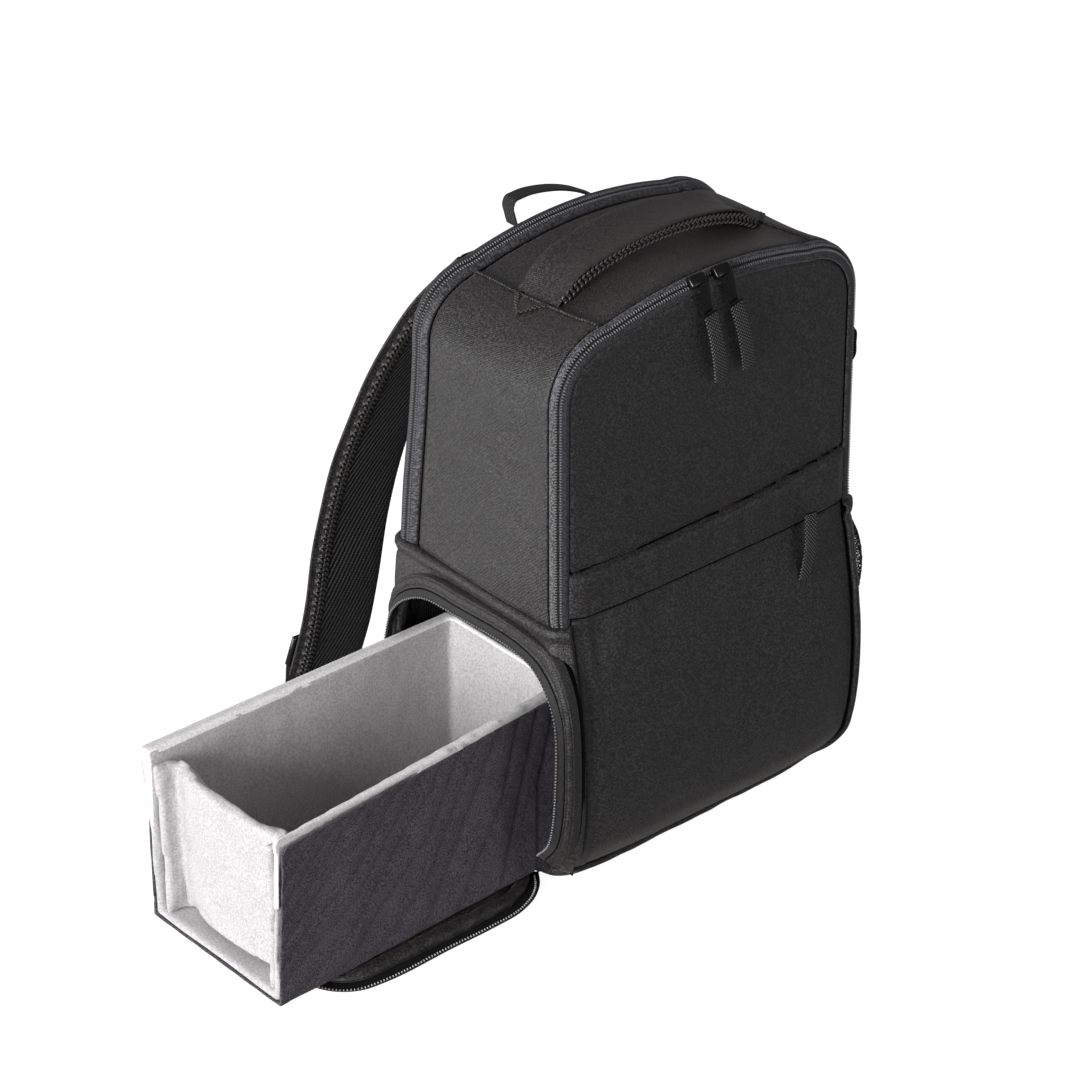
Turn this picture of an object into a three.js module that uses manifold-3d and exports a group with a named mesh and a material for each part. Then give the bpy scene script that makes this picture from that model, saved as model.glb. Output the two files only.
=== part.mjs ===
// A camera backpack that stands on its base, with its side door open on the floor
// and its padded camera insert slid part of the way out of the door.
// Millimetres, +Z up. X runs to the right as the front panel is faced, the front
// panel looks along -Y, and the origin is the middle of the bag's flat base.
import * as THREE from 'three';
import { mergeVertices } from 'three/addons/utils/BufferGeometryUtils.js';
import Module from 'manifold-3d';

// The bag's main form
const bagWidth = 287;
const bagHeight = 474;
const bagDepth = 190;
const seamHeight = 240;
const topRadius = 50;
const archRise = 12;
const baseRadius = 36;
const edgeRoll = 14;
const gap = 0.36;

// Walls of the soft pieces
const gussetWall = 3;
const zipWall = 2;
const panelWall = 4;
const shellWall = 7;
const shellProud = 3;
const pocketWall = 2.5;
const backWall = 4.5;
const webbingWall = 2;

// Front pocket and its placket, measured from the seam height
const placketFoot = 4;
const placketHeight = 36;
const pocketLap = 6;
const panelBulge = 6;
const bulgeRun = 60;
const pocketBulge = 5;
const backBulge = 8;
const backChannel = 5;

// Side door, its frame band and its zipper
const doorLength = 175;
const doorSetback = -7.5;
const doorTop = 204;
const doorFoot = 9;
const doorRadius = 38;
const frameWidth = 17;
const frameWall = 2.6;
const tapeWidth = 7;
const teethRise = 1;

// Door flap on the floor
const flapLength = 203;
const flapWidth = 160;
const flapShift = 3;
const flapTipRadius = 34;
const flapHeight = 12;
const rimWidth = 15;
const flapMeshWall = 2.2;
const flapTape = 7;

// Camera insert
const insertLength = 288;
const insertInnerEnd = -99;
const insertHeight = 150;
const insertNear = -58;
const insertFar = 75;
const insertFlare = 26;
const insertFootFlare = 12;
const coverWall = 1.8;
const liningWall = 5.6;
const mouthSlant = 7;
const dividerSetback = 24;
const dividerWall = 6;
const dividerBow = 8;
const dividerDrop = 10;

// Grab handle, loops and pulls
const handleLength = 188;
const handleWidth = 43;
const handleLift = 9;
const handlePad = 5;
const handleCover = 3;
const handleSeat = 3.4;
const handleSlope = 2.8;
const padShare = 0.84;
const anchorWidth = 29;
const anchorWall = 1.4;
const loopWidth = 13;
const loopSpan = 76;
const loopRise = 21;
const sideLoopHeight = 31;
const sideLoopDrop = 113;
const sideLoopSetback = 17;
const sideLoopWidth = 16;
const sideLoopRise = 5;
const pullWidth = 13;
const pullLength = 56;
const tabLength = 24;
const tabWidth = 8;
const sliderLength = 15;
const sliderWidth = 10;
const sliderHeight = 6;
const pocketPullWidth = 11;
const pocketPullLength = 52;
const pocketPullDrift = 4;
const pocketPullOut = 0.3;

// Shoulder straps, buckles and lower webbing
const strapWidth = 68;
const strapPad = 8;
const strapCover = 3.4;
const strapTop = 36;
const strapSpacing = 55;
const strapSplay = 51;
const strapDrop = 393;
const strapReach = 143;
const webbingWidth = 25;
const buckleWidth = 38;
const buckleStand = 11;
const buckleRise = 9;
const buckleShift = 6;
const buckleTabLift = 2;
const buckleLength = 30;
const buckleHeight = 4.4;
const buckleBar = 4;
const tailLength = 70;
const cornerTabLength = 24;
const cornerTabHeight = 36;
const cornerTabDrop = 4;

// Bottle pocket on the right side
const meshTop = seamHeight - 18;
const meshFoot = 126;
const meshBulge = 30;
const meshWall = 1.6;
const hemHeight = 13;

// Rails that the loft follows, one row for each height. The level is 0 on the floor, 1 at
// the seam and 2 at the top. Rails are shares of the bag's depth and wide is a share of
// its width.
const lean = [
  { level: 0.000, front: -0.370, zipFront: 0.320, zipRear: 0.400, back: 0.440, wide: 0.975 },
  { level: 0.030, front: -0.389, zipFront: 0.323, zipRear: 0.405, back: 0.445, wide: 0.978 },
  { level: 0.075, front: -0.415, zipFront: 0.327, zipRear: 0.412, back: 0.452, wide: 0.983 },
  { level: 0.110, front: -0.470, zipFront: 0.330, zipRear: 0.418, back: 0.457, wide: 0.987 },
  { level: 0.160, front: -0.520, zipFront: 0.333, zipRear: 0.427, back: 0.465, wide: 0.993 },
  { level: 0.200, front: -0.550, zipFront: 0.336, zipRear: 0.431, back: 0.469, wide: 0.996 },
  { level: 0.270, front: -0.572, zipFront: 0.339, zipRear: 0.434, back: 0.472, wide: 1.001 },
  { level: 0.460, front: -0.589, zipFront: 0.347, zipRear: 0.440, back: 0.480, wide: 1.005 },
  { level: 0.670, front: -0.571, zipFront: 0.342, zipRear: 0.437, back: 0.476, wide: 1.005 },
  { level: 0.850, front: -0.537, zipFront: 0.332, zipRear: 0.430, back: 0.466, wide: 1.004 },
  { level: 1.000, front: -0.503, zipFront: 0.321, zipRear: 0.418, back: 0.452, wide: 1.000 },
  { level: 1.190, front: -0.497, zipFront: 0.300, zipRear: 0.400, back: 0.434, wide: 1.000 },
  { level: 1.470, front: -0.495, zipFront: 0.263, zipRear: 0.353, back: 0.390, wide: 1.000 },
  { level: 1.680, front: -0.495, zipFront: 0.242, zipRear: 0.330, back: 0.368, wide: 1.000 },
  { level: 2.000, front: -0.495, zipFront: 0.247, zipRear: 0.345, back: 0.380, wide: 0.995 },
];

// Lines round the bag from front to back. Insets and shifts are shares of the edge roll,
// turn is the angle in degrees that the skin faces towards the back, and bow is the share
// of the front's bulge that the base line follows.
const stations = [
  { name: 'frontSeam', rail: 'front', shift: 0.00, side: 0.75, top: 0.75, base: 1.07, turn: -60, bow: 1.00 },
  { name: 'frontEdge', rail: 'front', shift: 0.68, side: 0.00, top: 0.00, base: 0.30, turn: -25, bow: 0.90 },
  { name: 'frontFlat', rail: 'front', shift: 2.20, side: -0.10, top: 0.10, base: 0.00, turn: 0, bow: 0.30 },
  { name: 'middle', rail: 'middle', shift: 0.00, side: -0.20, top: 0.46, base: 0.00, turn: 0, bow: 0.00 },
  { name: 'zipFront', rail: 'zipFront', shift: 0.00, side: 0.00, top: 0.64, base: 0.00, turn: 0, bow: 0.00 },
  { name: 'zipRear', rail: 'zipRear', shift: 0.00, side: 0.07, top: 0.50, base: 0.10, turn: 15, bow: 0.00 },
  { name: 'backEdge', rail: 'back', shift: 0.00, side: 0.90, top: 1.10, base: 0.90, turn: 55, bow: 0.00 },
];
const station = Object.fromEntries(stations.map(({ name }, index) => [name, index]));

const colours = {
  satin: { color: 0x2b2829, roughness: 0.6 },
  zipTape: { color: 0x2b2b31, roughness: 0.75 },
  mesh: { color: 0x1b1a1b, roughness: 0.9 },
  webbing: { color: 0x161516, roughness: 0.85 },
  gloss: { color: 0x101012, roughness: 0.25 },
  charcoal: { color: 0x34313a, roughness: 0.9 },
  fleece: { color: 0xdcdadc, roughness: 0.95 },
};

const wasm = await Module();
wasm.setup();

const backpack = new THREE.Group();
const bag = new THREE.Group();
const insert = new THREE.Group();
backpack.add(bag, insert);

function add(group, name, geometry, colour) {
  const mesh = new THREE.Mesh(geometry, new THREE.MeshStandardMaterial({ metalness: 0, ...colour }));
  mesh.name = name;
  group.add(mesh);
}

const vec = (x, y, z) => new THREE.Vector3(x, y, z);
const mix = THREE.MathUtils.lerp;

// Closes, merges and turns outwards a list of points and triangles
function closedGeometry(points, triangles) {
  let geometry = new THREE.BufferGeometry();
  const numbers = points.flatMap((p) => [p.x, p.y, p.z]);
  geometry.setAttribute('position', new THREE.Float32BufferAttribute(numbers, 3));
  geometry.setIndex(triangles);
  geometry = mergeVertices(geometry, 1e-3);
  const position = geometry.attributes.position;
  const kept = [];
  let volume = 0;
  const corner = [vec(), vec(), vec()];
  for (let i = 0; i < geometry.index.count; i += 3) {
    const [a, b, c] = [0, 1, 2].map((k) => geometry.index.getX(i + k));
    if (a === b || b === c || a === c) continue;
    kept.push(a, b, c);
    [a, b, c].forEach((id, k) => corner[k].fromBufferAttribute(position, id));
    volume += corner[0].dot(corner[1].cross(corner[2]));
  }
  if (volume < 0) kept.reverse();
  geometry.setIndex(kept);
  geometry.computeVertexNormals();
  return geometry;
}

// A wall between an outer and an inner grid of points with as many rows and columns
function wallSolid(outer, inner) {
  const rows = outer.length;
  const columns = outer[0].length;
  const id = (side, r, c) => (side * rows + r) * columns + c;
  const triangles = [];
  const quad = (a, b, c, d) => triangles.push(a, b, c, a, c, d);
  for (let r = 0; r < rows - 1; r++) {
    for (let c = 0; c < columns - 1; c++) {
      quad(id(0, r, c), id(0, r, c + 1), id(0, r + 1, c + 1), id(0, r + 1, c));
      quad(id(1, r, c), id(1, r + 1, c), id(1, r + 1, c + 1), id(1, r, c + 1));
    }
    quad(id(0, r, 0), id(0, r + 1, 0), id(1, r + 1, 0), id(1, r, 0));
    const last = columns - 1;
    quad(id(0, r, last), id(1, r, last), id(1, r + 1, last), id(0, r + 1, last));
  }
  for (let c = 0; c < columns - 1; c++) {
    quad(id(0, 0, c), id(1, 0, c), id(1, 0, c + 1), id(0, 0, c + 1));
    quad(id(0, rows - 1, c), id(0, rows - 1, c + 1), id(1, rows - 1, c + 1), id(1, rows - 1, c));
  }
  return closedGeometry([...outer.flat(), ...inner.flat()], triangles);
}

// A solid through closed polygons that have as many corners each, with fans at its ends
function loft(polygons) {
  const size = polygons[0].length;
  const points = polygons.flat();
  const triangles = [];
  for (let r = 0; r < polygons.length - 1; r++) {
    for (let c = 0; c < size; c++) {
      const d = (c + 1) % size;
      triangles.push(r * size + c, r * size + d, (r + 1) * size + d);
      triangles.push(r * size + c, (r + 1) * size + d, (r + 1) * size + c);
    }
  }
  [0, polygons.length - 1].forEach((r) => {
    const centre = polygons[r].reduce((sum, p) => sum.add(p), vec(0, 0, 0)).divideScalar(size);
    points.push(centre);
    for (let c = 0; c < size; c++) {
      const pair = [r * size + c, r * size + ((c + 1) % size)];
      if (r === 0) pair.reverse();
      triangles.push(points.length - 1, ...pair);
    }
  });
  return closedGeometry(points, triangles);
}

// Frames along a smooth path: each has its point, a side direction and a face direction.
// They are evenly spaced, or follow the path's own points where it turns tightly.
function framesAlong(points, sideAt, steps, even = true) {
  const curve = new THREE.CatmullRomCurve3(points, false, 'centripetal');
  return Array.from({ length: steps + 1 }, (_, k) => {
    const t = k / steps;
    const tangent = even ? curve.getTangentAt(t) : curve.getTangent(t);
    const side = sideAt(t).clone();
    side.addScaledVector(tangent, -side.dot(tangent)).normalize();
    const p = even ? curve.getPointAt(t) : curve.getPoint(t);
    return { t, p, side, face: side.clone().cross(tangent) };
  });
}

// Carries a section of [across, out] pairs along frames
function sweep(frames, sectionAt) {
  return loft(frames.map(({ t, p, side, face }) => sectionAt(t).map(([across, out]) =>
    p.clone().addScaledVector(side, across).addScaledVector(face, out))));
}

const flatSection = (width, thickness) => () => [
  [-width / 2, -thickness / 2], [width / 2, -thickness / 2],
  [width / 2, thickness / 2], [-width / 2, thickness / 2],
];

function toManifold(geometry) {
  const bare = geometry.clone();
  bare.deleteAttribute('normal');
  bare.deleteAttribute('uv');
  const merged = mergeVertices(bare, 1e-3);
  return new wasm.Manifold(new wasm.Mesh({
    numProp: 3,
    vertProperties: Float32Array.from(merged.attributes.position.array),
    triVerts: Uint32Array.from(merged.index.array),
  }));
}

function fromManifold(solid) {
  const mesh = solid.getMesh();
  const geometry = new THREE.BufferGeometry();
  geometry.setAttribute('position', new THREE.BufferAttribute(mesh.vertProperties, 3));
  geometry.setIndex(new THREE.BufferAttribute(mesh.triVerts, 1));
  geometry.computeVertexNormals();
  return geometry;
}

function closedBox(length, width, height) {
  const bare = new THREE.BoxGeometry(length, width, height);
  bare.deleteAttribute('normal');
  bare.deleteAttribute('uv');
  return mergeVertices(bare, 1e-3);
}

const cut = (body, tool) => fromManifold(toManifold(body).subtract(toManifold(tool)));

// Value of a rail or of the width at a height
function railAt(name, z) {
  const level = z < seamHeight ? z / seamHeight : 1 + (z - seamHeight) / (bagHeight - seamHeight);
  const clamped = THREE.MathUtils.clamp(level, 0, 2);
  const above = Math.max(1, lean.findIndex((row) => row.level >= clamped));
  const [a, b] = [lean[above - 1], lean[above]];
  const share = mix(a[name], b[name], (clamped - a.level) / (b.level - a.level));
  return name === 'wide' ? share : share * bagDepth;
}

// Heights of the samples on the straight side above the seam
const cornerHeight = bagHeight - archRise - topRadius;
const placketTop = seamHeight + placketFoot + placketHeight;
const pocketTop = seamHeight + placketFoot + pocketLap;
const panelFoot = (pocketTop + placketTop) / 2;
const upperHeights = [
  seamHeight, seamHeight + placketFoot, pocketTop, panelFoot, placketTop,
  mix(placketTop, cornerHeight, 0.35), mix(placketTop, cornerHeight, 0.7),
];
const lowerShares = [1, 0.8, 0.55, 0.3, 0.12];
const cornerSteps = 6;
const archSteps = 4;
const baseSteps = 5;
const baseSpans = 3;

// Left half of the outline in the XZ plane, above or below the seam: x, z and the normal's x, z
function halfOutline(part, side, top, base) {
  const samples = [];
  const half = bagWidth / 2 - side;
  if (part === 'upper') {
    const centreX = bagWidth / 2 - topRadius;
    upperHeights.forEach((z) => samples.push([-half, z, -1, 0]));
    for (let k = 0; k <= cornerSteps; k++) {
      const angle = (k / cornerSteps) * (Math.PI / 2);
      samples.push([
        -centreX - (topRadius - side) * Math.cos(angle),
        cornerHeight + (topRadius - top) * Math.sin(angle),
        -Math.cos(angle), Math.sin(angle),
      ]);
    }
    for (let k = 1; k <= archSteps; k++) {
      const x = -centreX * (1 - k / archSteps);
      const arched = archRise * (1 - (x / centreX) ** 2);
      samples.push([x, bagHeight - archRise - top + arched, 0, 1]);
    }
    return samples;
  }
  const floor = base + shellProud;
  const centreX = bagWidth / 2 - baseRadius;
  const centreZ = baseRadius + shellProud;
  lowerShares.forEach((share) => samples.push([-half, mix(centreZ, seamHeight, share), -1, 0]));
  for (let k = 0; k <= baseSteps; k++) {
    const angle = (k / baseSteps) * (Math.PI / 2);
    samples.push([
      -centreX - (baseRadius - side) * Math.cos(angle),
      centreZ - (centreZ - floor) * Math.sin(angle),
      -Math.cos(angle), -Math.sin(angle),
    ]);
  }
  for (let k = 1; k <= baseSpans; k++) samples.push([-centreX * (1 - k / baseSpans), floor, 0, -1]);
  return samples;
}

// How far the front bulges at a share of the width and a height
const crown = (across) => 1 - across ** 4;
const within = (z, low, high) => THREE.MathUtils.clamp((z - low) / (high - low), 0, 1);
const rise = (z, low, high) => Math.sin(Math.PI * within(z, low, high)) ** 0.6;
const frontSwell = (across, z) => panelBulge * crown(across) * rise(z, -bulgeRun, bagHeight);
const pocketSwell = (across, z) => frontSwell(across, z)
  + pocketBulge * crown(across) * rise(z, -bulgeRun, seamHeight + placketFoot);
const acrossAt = (x) => Math.min(1, Math.abs(2 * x) / bagWidth);

// One line round the bag as skin points with their normals, from the left seam to the right
function stationLine(part, index) {
  const { rail, shift, side, top, base, turn, bow } = stations[index];
  const flat = part === 'lower' ? Math.max(0, side) : side;
  const half = halfOutline(part, flat * edgeRoll, top * edgeRoll, base * edgeRoll);
  const mirrored = half.slice(0, -1).reverse().map(([x, z, nx, nz]) => [-x, z, -nx, nz]);
  const angle = THREE.MathUtils.degToRad(turn);
  return [...half, ...mirrored].map(([x, z, nx, nz]) => {
    const front = railAt('front', z) + stations[station.frontEdge].shift * edgeRoll;
    const y = rail === 'middle' ? (front + railAt('zipFront', z)) / 2 : railAt(rail, z) + shift * edgeRoll;
    const bowed = part === 'lower' ? bow * pocketSwell(acrossAt(x), z) : 0;
    return {
      p: vec(x * railAt('wide', z), y - bowed, z),
      n: vec(nx * Math.cos(angle), Math.sin(angle), nz * Math.cos(angle)),
    };
  });
}

// A line at any place between two stations
function skinLine(part, place) {
  const index = Math.min(Math.floor(place), stations.length - 2);
  const [a, b] = [stationLine(part, index), stationLine(part, index + 1)];
  const t = place - index;
  return a.map((point, k) => ({
    p: point.p.clone().lerp(b[k].p, t),
    n: point.n.clone().lerp(b[k].n, t).normalize(),
  }));
}

// Draws the first and last rows of a grid back from their neighbours by half the gap
function drawBackRows(grid) {
  const last = grid.length - 1;
  const step = (from, to) => to.clone().sub(from).setLength(gap / 2);
  const moves = [[0, 1], [last, last - 1]].map(([r, next]) =>
    grid[r].map((p, c) => step(p, grid[next][c])));
  moves.forEach((row, k) => row.forEach((move, c) => grid[k * last][c].add(move)));
  return grid;
}

const turned = (grid) => grid[0].map((_, c) => grid.map((row) => row[c]));
const drawBack = (grid) => turned(drawBackRows(turned(drawBackRows(grid))));

// A band of the skin: rows of { at, out } from front to back, with its wall inside
function skinBand(part, rows, wall) {
  const lines = rows.map(({ at, out }) => ({ line: skinLine(part, at), out }));
  const outer = lines.map(({ line, out }) => line.map(({ p, n }) => p.clone().addScaledVector(n, out)));
  const inner = lines.map(({ line, out }) => line.map(({ p, n }) =>
    p.clone().addScaledVector(n, Math.min(out, rows[0].out) - wall)));
  return wallSolid(drawBack(outer), drawBack(inner));
}

// Zipper rows: tape, raised teeth, tape
const tapeRise = 0.2;
const coilRise = teethRise + 3 * tapeRise;
const zipRows = (from, to) => [
  { share: 0, out: 0 }, { share: 0.36, out: tapeRise }, { share: 0.5, out: coilRise },
  { share: 0.64, out: tapeRise }, { share: 1, out: 0 },
].map(({ share, out }) => ({ at: mix(from, to, share), out }));
const flatRows = (places) => places.map((at) => ({ at, out: 0 }));

const gussetRows = flatRows([station.frontEdge, station.frontFlat, station.middle, station.zipFront]);
add(bag, 'main_gusset', skinBand('upper', gussetRows, gussetWall), colours.satin);
const frontZipRows = zipRows(station.frontSeam, station.frontEdge);
add(bag, 'front_zipper', skinBand('upper', frontZipRows, zipWall), colours.zipTape);
const rearZipRows = zipRows(station.zipFront, station.zipRear);
add(bag, 'rear_zipper', skinBand('upper', rearZipRows, zipWall), colours.zipTape);
const backRows = flatRows([station.zipRear, station.zipRear + 0.5, station.backEdge]);
add(bag, 'back_gusset', skinBand('upper', backRows, gussetWall), colours.satin);

// Pairs of left and right border points of a cap, from its foot up
const capColumns = 8;
function capPairs(part, index) {
  const line = stationLine(part, index);
  const middle = (line.length - 1) / 2;
  const pairs = Array.from({ length: middle + 1 }, (_, k) => [line[k], line[line.length - 1 - k]]);
  if (part === 'upper') return pairs;
  return pairs.slice(0, lowerShares.length + baseSteps + 1).reverse();
}

// A cap across the bag between border pairs. swell(across, z) is how far it stands out.
function capWall(pairs, facing, swell, out, wall) {
  const outer = [];
  const inner = [];
  pairs.forEach(([left, right], row) => {
    const outerRow = [];
    const innerRow = [];
    const level = row === 0 && left.n.z !== 0 ? left.n : facing;
    const drawnIn = ({ p, n }) => p.clone().addScaledVector(vec(n.x, 0, n.z).normalize(), -gap);
    for (let c = 0; c <= capColumns; c++) {
      const share = c / capColumns;
      const edge = c === 0 ? left.n : c === capColumns ? right.n : level;
      const point = drawnIn(left).lerp(drawnIn(right), share);
      const lift = swell(acrossAt(point.x), point.z) - swell(acrossAt(drawnIn(left).x), point.z);
      point.addScaledVector(facing, lift);
      outerRow.push(point.clone().addScaledVector(edge, out));
      const behind = wall > panelWall ? lift : 0;
      innerRow.push(point.clone().addScaledVector(facing, -behind).addScaledVector(edge, out - wall));
    }
    outer.push(outerRow);
    inner.push(innerRow);
  });
  return wallSolid(outer, inner);
}

const forwards = vec(0, -1, 0);
const backwards = vec(0, 1, 0);
const frontPairs = capPairs('upper', station.frontSeam);

// Front panel: it shows above the placket and runs on down behind the pocket
const footRow = upperHeights.indexOf(panelFoot);
const behindShares = [0.2, 0.4, 0.6, 0.8, 1];
const behindPairs = behindShares.map((share) => {
  const z = share * (pocketTop + gap);
  const half = bagWidth / 2 - edgeRoll;
  const y = railAt('front', seamHeight) + mix(panelBulge, pocketWall, share) + gap;
  return [-half, half].map((x) => ({ p: vec(x, y, z), n: forwards.clone() }));
});
const behindSwell = 0.4;
const panelSwell = (across, z) => (z <= pocketTop + gap ? behindSwell : 1) * frontSwell(across, z);
const panelPairs = [...behindPairs, ...frontPairs.slice(footRow)];
add(bag, 'front_panel', capWall(panelPairs, forwards, panelSwell, 0, panelWall), colours.satin);

// Front pocket: a bulged layer over the lower half, lapped by the placket
const pairsUpTo = (z) => frontPairs.slice(1, upperHeights.indexOf(z) + 1);
const pocketPairs = [...capPairs('lower', station.frontSeam), ...pairsUpTo(pocketTop)];
add(bag, 'front_pocket', capWall(pocketPairs, forwards, pocketSwell, 0, pocketWall), colours.satin);
const placketLap = [pocketWall + gap, pocketWall - gap];
const placket = capWall(pairsUpTo(placketTop), forwards, frontSwell, ...placketLap);
add(bag, 'pocket_placket', placket, colours.satin);

// Padded back panel of air mesh, with a channel down its middle
const channelShare = 0.16;
const backSwell = (across, z) => {
  const channel = backChannel * Math.exp(-((across / channelShare) ** 2));
  return (backBulge * crown(across) - channel) * rise(z, 0, bagHeight);
};
const backPairs = ['lower', 'upper'].flatMap((part, k) => capPairs(part, station.backEdge).slice(k));
add(bag, 'back_panel', capWall(backPairs, backwards, backSwell, 0, backWall), colours.mesh);

// Lower shell: sides and base in one padded piece, with the doorway cut through its left side
const doorFront = doorSetback - doorLength / 2;
const doorRear = doorSetback + doorLength / 2;
function doorwayTool() {
  const shape = new THREE.Shape();
  shape.moveTo(doorFront, doorFoot);
  shape.lineTo(doorRear, doorFoot);
  shape.lineTo(doorRear, doorTop - doorRadius);
  shape.absarc(doorRear - doorRadius, doorTop - doorRadius, doorRadius, 0, Math.PI / 2, false);
  shape.lineTo(doorFront + doorRadius, doorTop);
  shape.absarc(doorFront + doorRadius, doorTop - doorRadius, doorRadius, Math.PI / 2, Math.PI, false);
  const depth = baseRadius + 2 * edgeRoll;
  const prism = new THREE.ExtrudeGeometry(shape, { depth, bevelEnabled: false, curveSegments: 6 });
  prism.applyMatrix4(new THREE.Matrix4().makeBasis(vec(0, 1, 0), vec(0, 0, 1), vec(1, 0, 0)));
  return prism.translate(-bagWidth / 2 - 2 * edgeRoll, 0, 0);
}
const shellRows = stations.map((_, at) => ({ at, out: shellProud }))
  .filter(({ at }) => at !== station.middle);
add(bag, 'lower_shell', cut(skinBand('lower', shellRows, shellWall), doorwayTool()), colours.satin);

// Outer face of the lower shell's flat side
const sideFace = (z) => (bagWidth / 2) * railAt('wide', z) + shellProud;

// Lines of the door frame, from the rear foot over the top to the front foot. Heights are
// shares of the seam height, y shares of the bag's depth, tuck and flare of the frame's width.
const doorLines = [
  { seamY: 0.430, seamZ: 0.080, tuck: 0.00, teethY: 0.434, teethZ: 0.08, flare: 0.20 },
  { seamY: 0.445, seamZ: 0.270, tuck: 0.00, teethY: 0.447, teethZ: 0.27, flare: 0.20 },
  { seamY: 0.442, seamZ: 0.600, tuck: 0.00, teethY: 0.445, teethZ: 0.60, flare: 0.20 },
  { seamY: 0.420, seamZ: 0.830, tuck: 0.00, teethY: 0.400, teethZ: 0.79, flare: 0.20 },
  { seamY: 0.270, seamZ: 0.930, tuck: 0.00, teethY: 0.250, teethZ: 0.885, flare: 0.12 },
  { seamY: 0.000, seamZ: 0.950, tuck: 0.00, teethY: 0.000, teethZ: 0.900, flare: 0.08 },
  { seamY: -0.320, seamZ: 0.950, tuck: 0.00, teethY: -0.330, teethZ: 0.900, flare: 0.08 },
  { seamY: -0.505, seamZ: 0.915, tuck: 0.05, teethY: -0.460, teethZ: 0.865, flare: 0.10 },
  { seamY: -0.590, seamZ: 0.790, tuck: 0.20, teethY: -0.565, teethZ: 0.755, flare: 0.10 },
  { seamY: -0.615, seamZ: 0.500, tuck: 0.32, teethY: -0.590, teethZ: 0.50, flare: 0.10 },
  { seamY: -0.585, seamZ: 0.270, tuck: 0.32, teethY: -0.550, teethZ: 0.28, flare: 0.10 },
  { seamY: -0.510, seamZ: 0.165, tuck: 0.20, teethY: -0.470, teethZ: 0.19, flare: 0.10 },
];
const doorSteps = 26;
const seamCurve = new THREE.CatmullRomCurve3(doorLines.map((row) => {
  const z = row.seamZ * seamHeight;
  return vec(-sideFace(z) - frameWall - 2 * gap + row.tuck * frameWidth, row.seamY * bagDepth, z);
}), false, 'centripetal');
const teethCurve = new THREE.CatmullRomCurve3(doorLines.map((row) => {
  const z = row.teethZ * seamHeight;
  return vec(-sideFace(z) - frameWall - 2 * gap - row.flare * frameWidth, row.teethY * bagDepth, z);
}), false, 'centripetal');

// A ribbon between two lines, with a wall behind its face
function ribbon(lineA, lineB, columns, thickness) {
  const outer = lineA.map((a, k) =>
    columns.map(({ at, out }) => ({ p: a.clone().lerp(lineB[k], at), out })));
  const faces = lineA.map((_, k) => {
    const along = lineA[Math.min(k + 1, lineA.length - 1)].clone().sub(lineA[Math.max(k - 1, 0)]);
    return lineB[k].clone().sub(lineA[k]).cross(along).normalize();
  });
  return wallSolid(
    outer.map((row, k) => row.map(({ p, out }) => p.clone().addScaledVector(faces[k], out))),
    outer.map((row, k) => row.map(({ p }) => p.clone().addScaledVector(faces[k], -thickness))),
  );
}
const seamLine = seamCurve.getPoints(doorSteps);
const teethLine = teethCurve.getPoints(doorSteps);
const beyondTeeth = (by) => teethLine.map((p, k) =>
  p.clone().add(p.clone().sub(seamLine[k]).setLength(by)));
const tapeLine = beyondTeeth(tapeWidth);
const tapeStart = beyondTeeth(gap);
const frameColumns = [{ at: 0, out: 0 }, { at: 0.5, out: 0.8 }, { at: 1, out: 0 }];
add(bag, 'door_frame', ribbon(seamLine, teethLine, frameColumns, frameWall), colours.satin);
const tapeColumns = [
  { at: 0, out: 0 }, { at: 0.6, out: 0 }, { at: 0.75, out: teethRise }, { at: 1, out: teethRise },
];
add(bag, 'door_zipper', ribbon(tapeStart, tapeLine, tapeColumns, zipWall), colours.zipTape);

// Door flap on the floor: its outline from the near hinge corner round the tip to the far one
const flapHinge = -(bagWidth / 2 - baseRadius) * lean[0].wide - Math.sqrt(
  (baseRadius + shellProud) ** 2 - (baseRadius + shellProud - doorFoot) ** 2) - gap;
const flapTurns = 5;
const flapCorner = [
  { out: 0.0, tucked: 0.85 }, { out: 0.25, tucked: 0.52 }, { out: 0.6, tucked: 0.25 },
  { out: 1.1, tucked: 0.06 }, { out: 1.9, tucked: 0 }, { out: 3, tucked: 0 },
];
function flapOutline(inset) {
  const tip = flapHinge - flapLength + inset;
  const points = [];
  [-1, 1].forEach((side) => {
    const edge = flapShift + side * (flapWidth / 2 - inset);
    const half = flapCorner.map(({ out, tucked }) =>
      vec(flapHinge - out * flapTipRadius, edge - side * tucked * flapTipRadius, 0));
    for (let k = 0; k <= flapTurns; k++) {
      const angle = (k / flapTurns) * (Math.PI / 2);
      const radius = flapTipRadius - inset / 2;
      const inward = radius * (1 - Math.cos(angle));
      half.push(vec(tip + radius * (1 - Math.sin(angle)), edge - side * inward, 0));
    }
    points.push(...(side < 0 ? half : half.reverse()));
  });
  return points;
}
const raised = (points, z) => points.map((p) => p.clone().setZ(z));
const flapCore = flapHeight - flapMeshWall - 2 * gap;
const flapInner = flapOutline(rimWidth + gap);
add(bag, 'flap_panel', loft([raised(flapInner, 0), raised(flapInner, flapCore)]), colours.satin);
const meshInset = rimWidth * 1.4;
add(bag, 'flap_mesh', loft([
  raised(flapOutline(meshInset), flapCore + gap), raised(flapOutline(meshInset), flapHeight - gap),
]), colours.mesh);
const rimSection = [
  { inset: 1, z: 0.02 }, { inset: 0, z: 0.4 }, { inset: 0.1, z: 0.75 }, { inset: 0.45, z: 0.99 },
  { inset: 0.8, z: 0.85 }, { inset: 1, z: 0.6 },
];
function rimAround(section, width, shift) {
  const rings = section.map(({ inset, z }) =>
    raised(flapOutline(shift + inset * width), z * (flapHeight - gap)));
  return loft(rings[0].map((_, k) => rings.map((ring) => ring[k])));
}
add(bag, 'flap_rim', rimAround(rimSection, rimWidth, 0), colours.satin);
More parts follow.
